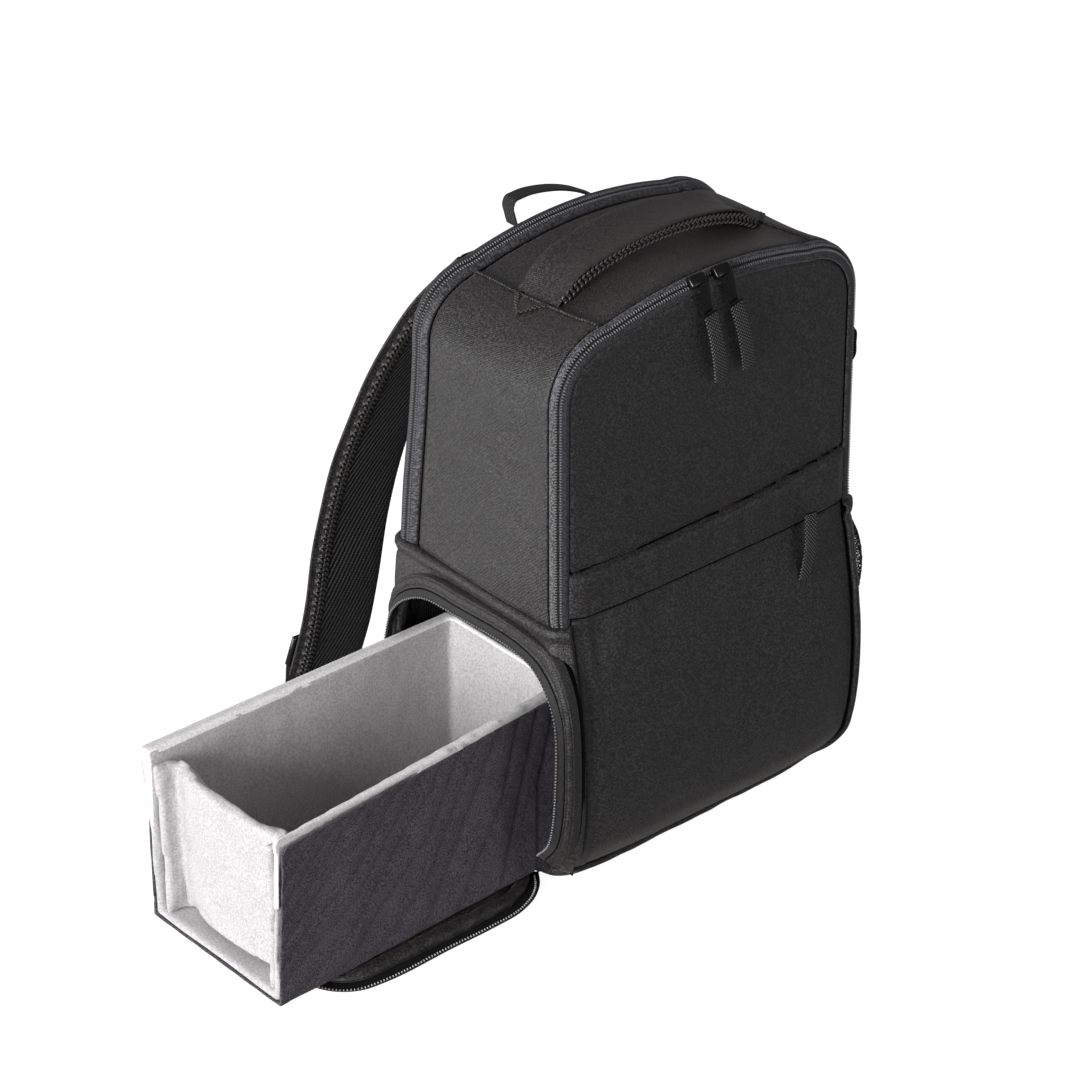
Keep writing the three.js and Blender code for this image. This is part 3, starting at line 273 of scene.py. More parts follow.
def sewn_panel(name, columns, rows, place, wall, cloth, node, flip=False, trim=None):
    """A fine grid laid on the bag by place(u, v), given its wall and put in its node's stead."""
    panel = plane_grid(name, columns, rows)
    flat = coords(panel)
    put(panel, place(flat[:, 0] + 0.5, flat[:, 1] + 0.5))
    if flip:
        edited(bpy.ops.mesh.flip_normals)
    if trim:
        trim(panel)
    fitted(panel, "SOLIDIFY", thickness=wall, offset=-1)
    bpy.ops.object.shade_smooth()
    return dress(panel, cloth, "bag", [node])


def add_node(material, kind, **sockets):
    made = material.node_tree.nodes.new(kind)
    for name, value in sockets.items():
        made.inputs[name.replace("_", " ")].default_value = value
    return made


def span(material, low, high, to_low=0.0, to_high=1.0):
    """Stretches a value from one range to another."""
    return add_node(material, "ShaderNodeMapRange", From_Min=low, From_Max=high, To_Min=to_low,
                    To_Max=to_high)


def two_tone(material, dark=(0, 0, 0), light=(1, 1, 1)):
    """Colour between a dark and a light one, picked by its factor."""
    made = add_node(material, "ShaderNodeMix")
    made.data_type = "RGBA"
    made.inputs[6].default_value, made.inputs[7].default_value = (*dark, 1), (*light, 1)
    return made


def join(material, *links):
    """Each link is a node, its output, the node it goes to (the shader if left out) and the input."""
    for source, output, *target, entry in links:
        target = target[0] if target else material.node_tree.nodes["Principled BSDF"]
        material.node_tree.links.new(source.outputs[output], target.inputs[entry])


def satin_twill(name, dark, light, rough=0.44):
    """Satin twill: fine slanting ribs, cloudy tone and a soft brownish sheen."""
    cloth = finish(name, dark, rough, Sheen_Weight=0.10, Sheen_Tint=(0.85, 0.74, 0.68, 1),
                   Sheen_Roughness=0.35)
    place = add_node(cloth, "ShaderNodeTexCoord")
    cloud = add_node(cloth, "ShaderNodeTexNoise", Scale=560.0, Detail=2.0, Roughness=0.7)
    spread = span(cloth, 0.44, 0.62)
    tone = two_tone(cloth, dark, light)
    ribs = add_node(cloth, "ShaderNodeTexWave", Scale=230.0, Distortion=1.2, Detail=2.0)
    ribs.bands_direction = "DIAGONAL"
    share = add_node(cloth, "ShaderNodeMix", Factor=0.20)
    fuzz = add_node(cloth, "ShaderNodeTexNoise", Scale=1100.0, Detail=2.0)
    bump = add_node(cloth, "ShaderNodeBump", Strength=0.35, Distance=0.0003)
    grain = add_node(cloth, "ShaderNodeBump", Strength=0.9, Distance=0.0007)
    join(cloth, (place, "Object", cloud, "Vector"), (place, "Object", ribs, "Vector"),
         (place, "Object", fuzz, "Vector"), (cloud, 0, spread, 0), (spread, 0, share, 2),
         (ribs, 1, share, 3), (share, 0, tone, 0), (tone, 2, "Base Color"),
         (fuzz, 0, grain, "Height"), (grain, 0, bump, "Normal"), (ribs, 1, bump, "Height"),
         (bump, 0, "Normal"))
    return cloth


satin = satin_twill("satin_twill", (0.0012, 0.0010, 0.0010), (0.0410, 0.0372, 0.0374))
# Near-black matt cloth laid along seams: painted shade where their crevice shadows fall.
painted_seam_shade = finish("painted_seam_shade", (0.0012, 0.0011, 0.0011), 0.9, Specular_IOR_Level=0.1)


def paint_seam_shade(piece, chosen):
    """Blackens the faces that chosen(centre, v) picks: painted shade along a seam, in place of its crevice
    shadow.
    """
    piece.data.materials.append(painted_seam_shade)
    spots = piece.data.uv_layers[0].data
    for face in piece.data.polygons:
        v = sum(spots[k].uv.y for k in face.loop_indices) / len(face.loop_indices)
        if chosen(face.center, v):
            face.material_index = 1


GUSSET_RUN, CORNER_SHARE = 0.688, 0.355


def gusset(u, v):
    v = crowd(v)
    place = 1 + 3 * v
    corner = np.minimum(np.abs(u - CORNER_SHARE), np.abs(u - 1 + CORNER_SHARE)) * GUSSET_RUN
    slack = folds(bag_skin("upper", u, place), 0.075, 3.1, (1, 0.6, 1)) * np.sin(np.pi * v) ** 0.7
    out = 0.0016 * slack - 0.0022 * border(v, 0.13, 0.0022)
    out += 0.0014 * bell(corner - 0.0015, 0.0016) - 0.001 * bell(corner + 0.002, 0.0012)
    return bag_skin("upper", u, place, out)


sewn_panel("upper_gusset", 220, 54, gusset, 0.003, satin, "main_gusset")


# Back gusset: the narrow satin band between the rear zipper and the padded back.
def back_band(u, v):
    return bag_skin("upper", u, 5 + crowd(v), -0.0014 * border(v, 0.012, 0.0014))


sewn_panel("back_band", 200, 10, back_band, 0.003, satin, "back_gusset")

# Front panel and pocket: satin twill over thin foam, with the pocket's placket lapped over
# its mouth and soft creases running down from the seams.
FRONT_INSET = 0.75 * ROLL
PLACKET_FOOT, LAP_SEAM, POCKET_TOP, PANEL_FOOT = 0.2445, 0.2436, 0.252, 0.266


def half_width(z, inset=FRONT_INSET):
    """Half of the front's width at a height, with its round corners."""
    low, high, foot = BASE_RADIUS + PROUD, CORNER, 1.07 * ROLL + PROUD
    down = np.clip((low - z) / (low - foot), 0, 1)
    up = np.clip((z - high) / (TOP_RADIUS - inset), 0, 1)
    round_top = WIDTH / 2 - TOP_RADIUS + (TOP_RADIUS - inset) * np.sqrt(1 - up ** 2)
    round_base = WIDTH / 2 - BASE_RADIUS + (BASE_RADIUS - inset) * np.sqrt(1 - down ** 2)
    return np.where(z > high, round_top, np.where(z < low, round_base, WIDTH / 2 - inset))


def top_edge(x, inset=FRONT_INSET):
    """Height of the front's round top at a width."""
    centre = WIDTH / 2 - TOP_RADIUS
    turn = np.clip((np.abs(x) - centre) / (TOP_RADIUS - inset), 0, 1)
    flat = np.clip(1 - (np.abs(x) / centre) ** 2, 0, 1)
    return CORNER + (TOP_RADIUS - inset) * np.sqrt(1 - turn ** 2) + ARCH * flat


def foot_edge(x, inset=FRONT_INSET):
    centre, foot = WIDTH / 2 - BASE_RADIUS, 1.07 * ROLL + PROUD
    turn = np.clip((np.abs(x) - centre) / (BASE_RADIUS - inset), 0, 1)
    return BASE_RADIUS + PROUD - (BASE_RADIUS + PROUD - foot) * np.sqrt(1 - turn ** 2)


def front_face(u, low, high, bulge, share):
    """Places on the front between two heights, each a number or a line over the width."""
    x = (WIDTH / 2 - FRONT_INSET - 0.0004) * np.sin(np.pi * (u - 0.5))
    low, high = (edge(x) if callable(edge) else edge for edge in (low, high))
    z = low + (high - low) * share
    y = rail("front", z) - (bulge(x, z) - bulge(half_width(z), z))
    return np.stack([x * rail("wide", z), y, z], axis=1), x, z


def placket_top(x):
    """Height of the placket's upper seam, which rises towards the right."""
    return 0.280 + 0.008 * np.clip((x + 0.02) / 0.16, 0, 1) ** 1.5


def front_upper(u, v):
    points, x, z = front_face(u, PANEL_FOOT, top_edge, front_swell, crowd(v, 0.75))
    rim = np.minimum(np.minimum(half_width(z) - np.abs(x), top_edge(x) - z), 1)
    slack = folds(points, 0.11, 7.7, (1, 1, 0.8))
    points[:, 1] -= 0.0018 * slack * np.clip(rim / 0.03, 0, 1) - 0.0024 * bell(rim, 0.0026)
    over_seam = z - placket_top(x) - 0.0006
    points[:, 1] += 0.0026 * bell(over_seam, 0.0015) * (1 + 0.35 * folds(points, 0.005, 3.0))
    return points


front_top = sewn_panel("front_top", 120, 96, front_upper, 0.004, satin, "front_panel")
# Painted shade: a near-black strip just above the placket's upper seam.
paint_seam_shade(front_top, lambda at, v: 0 < at.z - placket_top(at.x) < 0.0017)


def pocket_face(u, v):
    points, x, z = front_face(u, foot_edge, POCKET_TOP, pocket_swell, crowd(v))
    rim = np.minimum(half_width(z) - np.abs(x), z - foot_edge(x))
    near_top = np.clip((z - 0.150) / 0.09, 0, 1)
    creases = folds(points, 0.030, 2.2, (1, 1, 0.22)) * near_top
    creases *= (0.4 + 0.6 * np.clip((0.02 - x) / 0.12, 0, 1)) * np.clip(rim / 0.01, 0, 1)
    left = bell(x + 0.120, 0.010) * np.sin(x / 0.0024 + 2 * folds(points, 0.12, 9.0))
    slack = folds(points, 0.12, 4.4, (1, 1, 0.7))
    under_lap = np.clip((0.2440 - z) / 0.014, 0, 1)
    out = 0.0022 * slack * np.clip(rim / 0.025, 0, 1) + 0.0019 * creases + 0.0008 * left
    out = out * under_lap - 0.0026 * bell(z - LAP_SEAM, 0.0024)
    points[:, 1] -= out - 0.0034 * bell(rim, 0.0024)
    return points


sewn_panel("pocket_front", 126, 108, pocket_face, 0.0025, satin, "front_pocket")


def placket_face(u, v):
    points, x, z = front_face(u, PLACKET_FOOT, placket_top, front_swell, crowd(v))
    t = (z - PLACKET_FOOT) / (placket_top(x) - PLACKET_FOOT)
    puff = 0.0038 + 0.0010 * np.sin(np.pi * t) ** 0.8 - 0.0046 * bell((1 - t) * 0.038, 0.0018)
    creases = folds(points, 0.022, 5.0, (1, 1, 0.25)) * np.sin(np.pi * np.clip(t, 0, 1)) ** 0.5
    side_seam = np.sqrt(np.clip((half_width(z) - np.abs(x)) / 0.010, 0, 1))
    points[:, 1] -= (puff + 0.0011 * creases) * side_seam - 0.002 * (1 - side_seam)
    return points


placket = sewn_panel("placket", 200, 24, placket_face, 0.002, satin, "pocket_placket")
# Painted shade: a near-black strip along the placket's foot, where it laps the pocket.
paint_seam_shade(placket, lambda at, v: v < 0.09)

# Front and rear zippers: reversed coil zippers, each a half-round woven tape with a split down
# its length and the coil's ribs showing through on both sides of it.
# Each band is a place across the tape and how bright the weave is from there.
FRONT_BANDS = [(0, 0.05), (0.06, 0.034), (0.34, 0.034), (0.38, 0.003), (0.68, 0.003), (0.72, 0.088),
               (0.96, 0.088)]
REAR_BANDS = [(0, 0.003), (0.05, 0.050), (0.18, 0.050), (0.22, 0.003), (0.54, 0.003), (0.60, 0.042),
              (0.9, 0.030)]


def zipper_tape(name, bands, along):
    """Woven tape read from its own UV map: U runs along it, and V across it picks its tone."""
    tape = finish(name, (0.01, 0.01, 0.011), 0.6, Sheen_Weight=0.1, Sheen_Tint=(0.8, 0.8, 0.9, 1),
                  Sheen_Roughness=0.5)
    uv = add_node(tape, "ShaderNodeUVMap")
    split = add_node(tape, "ShaderNodeSeparateXYZ")
    ramp = add_node(tape, "ShaderNodeValToRGB")
    stops = ramp.color_ramp.elements
    while len(stops) > 1:
        stops.remove(stops[-1])
    stops[0].position, stops[0].color = 0, (*[bands[0][1]] * 3, 1)
    for at, bright in bands[1:]:
        stops.new(at).color = (bright, bright, bright * 1.12, 1)
    stretch = add_node(tape, "ShaderNodeMapping", Scale=(along, 13, 1))
    weave = add_node(tape, "ShaderNodeTexVoronoi", Scale=1.0, Randomness=0.6)
    spread = span(tape, 0, 0.7, 2.4, 0.05)
    tone = two_tone(tape)
    tone.blend_type = "MULTIPLY"
    tone.inputs[0].default_value = 1.0
    bump = add_node(tape, "ShaderNodeBump", Strength=0.8, Distance=0.0006)
    bump.invert = True
    join(tape, (uv, 0, split, 0), (split, 1, ramp, 0), (uv, 0, stretch, 0), (stretch, 0, weave, "Vector"),
         (weave, "Distance", spread, 0), (ramp, 0, tone, 6), (spread, 0, tone, 7),
         (tone, 2, "Base Color"), (weave, "Distance", bump, "Height"), (bump, 0, "Normal"))
    return tape


def run_along(points):
    """Length of a line up to each of its points."""
    return np.concatenate([[0], np.cumsum(np.linalg.norm(np.diff(points, axis=0), axis=1))])


def strung(name, unit, points, normals, pitch, cloth):
    """Copies of a small unit, whose length lies on X and whose top is +Z, along a line."""
    run = run_along(points)
    count = max(2, int(run[-1] / pitch))
    at = (np.arange(count) + 0.5) * run[-1] / count

    def on_line(values, where):
        where = np.clip(where, 0, run[-1])
        return np.stack([np.interp(where, run, values[:, k]) for k in range(3)], axis=1)

    x = on_line(points, at + pitch * 0.3) - on_line(points, at - pitch * 0.3)
    x /= np.linalg.norm(x, axis=1, keepdims=True)
    y = np.cross(on_line(normals, at), x)
    y /= np.linalg.norm(y, axis=1, keepdims=True)
    axes = (x, y, np.cross(x, y))
    flat = coords(unit)
    spots = on_line(points, at)[:, None] + sum(flat[None, :, k:k + 1] * axes[k][:, None] for k in range(3))
    faces = [list(p.vertices) for p in unit.data.polygons]
    mesh = bpy.data.meshes.new(name)
    copies = [[k + n * len(flat) for k in face] for n in range(count) for face in faces]
    mesh.from_pydata(spots.reshape(-1, 3).tolist(), [], copies)
    mesh.shade_smooth()
    row = bpy.data.objects.new(name, mesh)
    scene.collection.objects.link(row)
    return dress(row, cloth, "bag")


def small_unit(length, width, height, bevel=0.4):
    """A rounded block a little sunk below its line, used for one stitch or one tooth."""
    bpy.ops.object.select_all(action="DESELECT")
    bpy.ops.mesh.primitive_cube_add(size=1)
    unit = bpy.context.object
    unit.scale = (length, width, height)
    bpy.ops.object.transform_apply(scale=True)
    edited(lambda: bpy.ops.mesh.bevel(offset=min(width, height) * bevel, segments=1))
    return unit


def surface_line(place, us, vs, out=0.0):
    """Points and outward normals of a line drawn on a panel's place function."""
    us, vs = np.broadcast_arrays(np.asarray(us, float), np.asarray(vs, float))
    across = place(us, np.clip(vs + 0.01, 0, 1)) - place(us, np.clip(vs - 0.01, 0, 1))
    along = place(np.clip(us + 0.004, 0, 1), vs) - place(np.clip(us - 0.004, 0, 1), vs)
    normals = np.cross(along, across)
    normals /= np.linalg.norm(normals, axis=1, keepdims=True)
    return place(us, vs) + normals * out, normals


coil_rib = small_unit(0.0009, 0.0022, 0.0020, 0.35)
coil_black = finish("coil_black", (0.20, 0.20, 0.215), 0.35)
for name, first, width, split, bands in (
        ("front", 0, 0.014, 0.53, FRONT_BANDS), ("rear", 4, 0.016, 0.36, REAR_BANDS)):

    def on_tape(u, v):
        """Half-round tape with its split and its two turned-in edges."""
        arch = np.sqrt(np.clip(1 - (np.abs(v - 0.5) * 2) ** 2.4, 0, 1))
        out = 0.0019 * arch - 0.0016 * bell(v - split, 0.040) - 0.0008 * border(v, width, 0.0012)
        return bag_skin("upper", u, first + v, out)

    tape = zipper_tape(f"{name}_zipper_tape", bands, 520)
    sewn_panel(f"{name}_zip", 240, 18, on_tape, 0.0015, tape, f"{name}_zipper")
    for side, v in (("a", split - 0.115), ("b", split + 0.115)):
        points, normals = surface_line(on_tape, np.linspace(0, 1, 500), v)
        strung(f"{name}_coil_{side}", coil_rib, points, normals, 0.0022, coil_black)

# Lower shell: the padded satin wrap of the sides and base, turned over at its top edge, with
# the side doorway cut through its left wall.
DOOR_FRONT, DOOR_REAR, DOOR_FOOT, DOOR_TOP, DOOR_RADIUS = -0.095, 0.080, 0.009, 0.204, 0.038
DOOR_SIDE = -0.128


def shell_skin(u, v):
    place = 6 * v
    height = np.minimum(u, 1 - u) * 2 * 0.365
    points = bag_skin("lower", u, place)
    slack = folds(points, 0.06, 6.6, (1, 1, 0.6))
    lip = 0.0022 * bell(height - 0.0050, 0.0040) - 0.0030 * bell(height, 0.0014)
    lip -= 0.0013 * bell(height - 0.0135, 0.0022)
    on_side = 1 + 0.5 * np.clip((0.19 - height) / 0.02, 0, 1)
    seams = on_side * bell(v, 0.009) + bell(1 - v, 0.008)
    tucks = 0.0012 * bell(place - 0.95, 0.20) * np.sin(height / 0.0075 + 3 * folds(points, 0.05, 1.0))
    out = PROUD + 0.0009 * slack + lip - 0.0022 * seams + tucks * bell(height - 0.035, 0.03)
    return bag_skin("lower", u, place, out)


def past_doorway(y, z):
    """Distance outside the doorway's round-cornered outline, less than 0 inside it."""
    low = DOOR_FOOT - DOOR_RADIUS
    half = np.array([(DOOR_REAR - DOOR_FRONT) / 2, (DOOR_TOP - low) / 2]) - DOOR_RADIUS
    dy = np.abs(y - (DOOR_REAR + DOOR_FRONT) / 2) - half[0]
    dz = np.abs(z - (DOOR_TOP + low) / 2) - half[1]
    corner = np.hypot(np.maximum(dy, 0), np.maximum(dz, 0))
    return np.maximum(corner + np.minimum(np.maximum(dy, dz), 0) - DOOR_RADIUS, DOOR_FOOT - z)


def with_picked(kind, parts, chosen, step):
    """Does an edit-mode step to the chosen faces or edges of the active mesh."""
    bpy.ops.object.mode_set(mode="EDIT")
    bpy.ops.mesh.select_mode(type=kind)
    bpy.ops.mesh.select_all(action="DESELECT")
    bpy.ops.object.mode_set(mode="OBJECT")
    for part in parts:
        part.select = bool(chosen(part))
    bpy.ops.object.mode_set(mode="EDIT")
    step()
    bpy.ops.object.mode_set(mode="OBJECT")


def cut_doorway(panel):
    """Takes out the faces inside the doorway and draws the last row onto its outline."""
    with_picked("FACE", panel.data.polygons,
                lambda face: face.center.x < DOOR_SIDE and past_doorway(*face.center[1:]) < 0,
                lambda: bpy.ops.mesh.delete(type="FACE"))
    step, nearest = 1e-4, -0.0035
    for vertex in panel.data.vertices:
        x, y, z = vertex.co
        off = past_doorway(y, z)
        if x < DOOR_SIDE and nearest < off < 0:
            slope = Vector((0, past_doorway(y + step, z) - off, past_doorway(y, z + step) - off)) / step
            vertex.co -= slope * off


sewn_panel("shell", 220, 92, shell_skin, 0.007, satin, "lower_shell", flip=True, trim=cut_doorway)

# Door frame: a satin band round the doorway, topstitched twice, with the door's half of a
# coil zipper along its inner edge. Each row of the table is y, z and the offset from the wall,
# at the frame's seam and then at the teeth.
DOOR_ROWS = np.array([
    [0.430, 0.080, 0.00, 0.434, 0.080, 0.20], [0.445, 0.270, 0.00, 0.447, 0.270, 0.20],
    [0.442, 0.600, 0.00, 0.445, 0.600, 0.20], [0.420, 0.830, 0.00, 0.400, 0.790, 0.20],
    [0.270, 0.930, 0.00, 0.250, 0.885, 0.12], [0.000, 0.950, 0.00, 0.000, 0.900, 0.08],
    [-0.320, 0.950, 0.00, -0.330, 0.900, 0.08], [-0.505, 0.915, 0.05, -0.460, 0.865, 0.10],
    [-0.590, 0.790, 0.20, -0.565, 0.755, 0.10], [-0.615, 0.500, 0.32, -0.590, 0.500, 0.10],
    [-0.585, 0.270, 0.32, -0.550, 0.280, 0.10], [-0.510, 0.165, 0.20, -0.470, 0.190, 0.10],
])
FRAME_WIDTH, FRAME_WALL, TAPE_WIDTH, GAP = 0.017, 0.0026, 0.007, 0.00036
INNER_STITCHES, OUTER_STITCHES = 0.74, 0.22


def door_rim(t, seam):
    """Point on the frame's outer seam, or on the line of the teeth, at a share t of its run."""
    y, z, off = DOOR_ROWS[:, :3].T if seam else DOOR_ROWS[:, 3:].T
    y, z = y * DEPTH, z * SEAM
    side = WIDTH / 2 * rail("wide", z) + PROUD + FRAME_WALL + 2 * GAP
    x = off * FRAME_WIDTH * (1 if seam else -1) - side
    rows = np.stack([x, y, z], axis=1)
    run = np.concatenate([[0], np.cumsum(np.sqrt(np.linalg.norm(np.diff(rows, axis=0), axis=1)))])
    return np.stack([through(np.asarray(t, float) * run[-1], run, rows[:, k]) for k in range(3)], axis=1)


def door_band(t, across, out):
    """Across is 0 at the frame's seam, 1 at the teeth, and goes on over the tape."""
    seam, teeth = door_rim(t, True), door_rim(t, False)
    ahead = door_rim(np.clip(t + 0.01, 0, 1), True) - door_rim(np.clip(t - 0.01, 0, 1), True)
    width = np.linalg.norm(teeth - seam, axis=1, keepdims=True)
    inward = (teeth - seam) / width
    face = np.cross(inward, ahead)
    face /= np.linalg.norm(face, axis=1, keepdims=True)
    across = across[:, None]
    reach = np.where(across <= 1, across * width, width + (across - 1) * TAPE_WIDTH)
    return seam + inward * reach + face * np.broadcast_to(out, across.shape[:1])[:, None]


def frame_face(u, v):
    width = 0.014
    out = 0.0011 * np.sin(np.pi * np.clip(v, 0, 1)) ** 0.6
    for line, deep, wide in ((INNER_STITCHES, 0.0007, 0.0009), (OUTER_STITCHES, 0.0007, 0.0009),
                             (0, 0.0016, 0.0012), (1, 0.0010, 0.0009)):
        out -= deep * bell((v - line) * width, wide)
    wave = 0.0003 * np.sin(u * 190 + 4 * np.sin(u * 23)) * np.sin(np.pi * v)
    points = door_band(u, v, out + wave)
    points[:, 0] += 0.009 * np.clip((0.10 - v) / 0.10, 0, 1)
    return points


frame_satin = satin_twill("frame_twill", (0.003, 0.0026, 0.0026), (0.030, 0.0265, 0.026), 0.48)
door_frame = sewn_panel("door_frame_band", 260, 30, frame_face, 0.0024, frame_satin, "door_frame",
                        flip=True)
# Painted shade: near-black strips along the band's outer seam and its inner edge by the tape.
paint_seam_shade(door_frame, lambda at, v: v > 0.93 or v < 0.03)


def door_tape_face(u, v):
    return door_band(u, 1.04 + 0.96 * v, 0.0003 + 0.0007 * np.clip((v - 0.72) / 0.1, 0, 1))


door_weave = zipper_tape("door_zipper_tape", [(0, 0.003), (0.15, 0.010), (0.7, 0.010), (0.8, 0.003)], 330)
sewn_panel("door_tape", 260, 10, door_tape_face, 0.0012, door_weave, "door_zipper", flip=True)
tooth = small_unit(0.0009, 0.0015, 0.0018)
teeth_metal = finish("door_teeth", (0.42, 0.42, 0.43), 0.3)
TOOTH_PITCH, STITCH_PITCH = 0.0026, 0.0036
long_run = np.linspace(0, 1, 400)
points, normals = surface_line(door_tape_face, long_run, 0.93)
strung("door_teeth", tooth, points, -normals, TOOTH_PITCH, teeth_metal)
stitch = small_unit(0.0027, 0.0007, 0.0006)
thread = finish("black_thread", (0.016, 0.015, 0.015), 0.6)
for name, v in [("frame_stitches_inner", INNER_STITCHES), ("frame_stitches_outer", OUTER_STITCHES)]:
    points, normals = surface_line(frame_face, long_run, v)
    strung(name, stitch, points, -normals, STITCH_PITCH, thread)

# Camera insert: charcoal felt outside, thick light grey fleece inside, turned out over the
# rims, and a bowed divider across its open end, all padded with foam.
INSERT_TOP, MOUTH, RIM_DROP, BAND_PROUD = 0.16236, -0.387, 0.0082, 0.0026


def math_node(material, operation):
    made = add_node(material, "ShaderNodeMath")
    made.operation = operation
    return made


def felt(name, dark, light, grain, sheen, tint):
    """Short woolly pile: speckled tone and a fine bump."""
    cloth = finish(name, dark, 0.95, Sheen_Weight=sheen, Sheen_Tint=(*tint, 1), Sheen_Roughness=0.4,
                   Specular_IOR_Level=0.15)
    place = add_node(cloth, "ShaderNodeTexCoord")
    speck = add_node(cloth, "ShaderNodeTexNoise", Scale=grain, Detail=3.0, Roughness=0.7)
    cloud = add_node(cloth, "ShaderNodeTexNoise", Scale=45.0, Detail=3.0)
    blend = math_node(cloth, "MULTIPLY_ADD")
    blend.inputs[1].default_value = 0.12
    spread = span(cloth, 0.44, 0.68)
    tone = two_tone(cloth, dark, light)
    bump = add_node(cloth, "ShaderNodeBump", Strength=0.45, Distance=0.0006)
    join(cloth, (place, "Object", speck, "Vector"), (place, "Object", cloud, "Vector"),
         (cloud, 0, blend, 0), (speck, 0, blend, 2), (blend, 0, spread, 0), (spread, 0, tone, 0),
         (tone, 2, "Base Color"), (speck, 0, bump, "Height"), (bump, 0, "Normal"))
    return cloth


WARM = (1, 0.97, 0.98)
fleece = felt("light_fleece", (0.36, 0.35, 0.353), (0.53, 0.518, 0.522), 620.0, 0.25, WARM)
# A lighter copy of the fleece: painted light on the rims' upward and outward faces and the mouth.
painted_light_fleece = felt("painted_light_fleece", (0.66, 0.645, 0.65), (0.88, 0.865, 0.87), 620.0, 0.25, WARM)
charcoal = felt("charcoal_felt", (0.022, 0.0205, 0.024), (0.130, 0.121, 0.139), 900.0, 0.12,
                (0.8, 0.75, 0.9))


def solid_copy(source, name, *steps):
    """A solid's own copy, welded and bare of materials, with further steps done to it."""
    bpy.ops.object.select_all(action="DESELECT")
    piece = bpy.data.objects.new(name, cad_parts[source].data.copy())
    scene.collection.objects.link(piece)
    piece.data.materials.clear()
    piece.select_set(True)
    bpy.context.view_layer.objects.active = piece
    edited(lambda: bpy.ops.mesh.remove_doubles(threshold=1e-5), *steps)
    return piece


def soft_copy(source, name, voxel, ease):
    """A solid's copy with its corners melted into one even skin."""
    piece = solid_copy(source, name)
    fitted(piece, "REMESH", mode="VOXEL", voxel_size=voxel)
    fitted(piece, "SMOOTH", iterations=ease)
    bpy.ops.object.shade_smooth()
    return piece


def normals_of(piece):
    flat = np.empty(len(piece.data.vertices) * 3)
    piece.data.vertex_normals.foreach_get("vector", flat)
    return flat.reshape(-1, 3)


def stuff(piece, pressure, cap, steps=20):
    """Swells a closed cover as its foam does, and holds each point within the cap."""
    before = coords(piece)
    bpy.context.view_layer.objects.active = piece
    cloth = piece.modifiers.new("stuffing", "CLOTH")
    cloth.settings.quality = 4
    cloth.settings.tension_stiffness = cloth.settings.compression_stiffness = 15.0
    cloth.settings.use_pressure = True
    cloth.settings.uniform_pressure_force = pressure
    cloth.settings.effector_weights.gravity = 0
    for step in range(1, steps + 1):
        scene.frame_set(step)
    bpy.ops.object.modifier_apply(modifier="stuffing")
    scene.frame_set(1)
    moved = coords(piece) - before
    far = np.linalg.norm(moved, axis=1, keepdims=True)
    put(piece, before + moved * np.minimum(1, cap / np.maximum(far, 1e-9)))


def round_corner(at, top, mouth, radius):
    """Turns the upper corner at the mouth, on both long walls, round an arc."""
    centre = np.array([mouth + radius, top - radius])
    away = at[:, [0, 2]] - centre
    far = np.hypot(away[:, 0], away[:, 1])
    inside = (away[:, 0] < 0) & (away[:, 1] > 0) & (far > radius)
    share = np.where(inside, radius / np.maximum(far, 1e-9), 1)
    at[:, 0] = centre[0] + away[:, 0] * share
    at[:, 2] = centre[1] + away[:, 1] * share
    return at


lining = soft_copy("insert_lining", "insert_fleece", 0.0023, 9)
stuff(lining, 3.0, 0.0008)
at, out = coords(lining), normals_of(lining)
rim = np.clip((at[:, 2] - (INSERT_TOP - RIM_DROP)) / 0.0022, 0, 1)
mouth = np.clip((MOUTH + 0.0052 - at[:, 0]) / 0.0020, 0, 1)
# The band that is turned out over the rim and the mouth lies on a line fitted to each wall.
hand = np.sign(at[:, 1])
facing = np.clip((out[:, 1] * hand - 0.25) / 0.3, 0, 1) * (np.abs(at[:, 1]) > 0.066)
on_wall = (facing > 0.99) & (at[:, 2] > 0.05) & (at[:, 2] < INSERT_TOP - 0.012)
turned = np.maximum(rim, mouth) * facing
for side in (-1, 1):
    chosen = on_wall & (hand == side)
    wall_line = np.polyfit(at[chosen, 0], np.abs(at[chosen, 1]), 2)
    at[:, 1] += turned * (hand == side) * (side * (np.polyval(wall_line, at[:, 0]) + BAND_PROUD) - at[:, 1])
# The rest of the outside is drawn in under the felt.
under = -out[:, 2] * (at[:, 2] < 0.017)
covered = (1 - rim) * (1 - mouth)
outer = np.clip(np.maximum(out[:, 1] * hand * (np.abs(at[:, 1]) > 0.070), under), 0, 1)
at = at - out * (0.0022 * covered * outer)[:, None]
fuzz = 0.0006 * covered * folds(at, 0.05, 1.5) + 0.0001 * folds(at, 0.008, 4.5)
at = at + out * (0.0012 * mouth * np.clip(under, 0, 1) + fuzz)[:, None]
put(lining, round_corner(at, INSERT_TOP + 0.0002, MOUTH - 0.0002, 0.009))
fitted(lining, "DECIMATE", ratio=0.42)
dress(lining, fleece, "insert", ["insert_lining"])
lining.data.materials.append(painted_light_fleece)
# The rims' upward and outward faces and the mouth take the lighter fleece: painted light where the light
# falls.
for face in lining.data.polygons:
    turned_out = face.normal.z > 0.4 or face.normal.y * face.center.y > 0.3 * abs(face.center.y)
    if (face.center.z > INSERT_TOP - 0.0078 and turned_out) or face.center.x < MOUTH + 0.005:
        face.material_index = 1

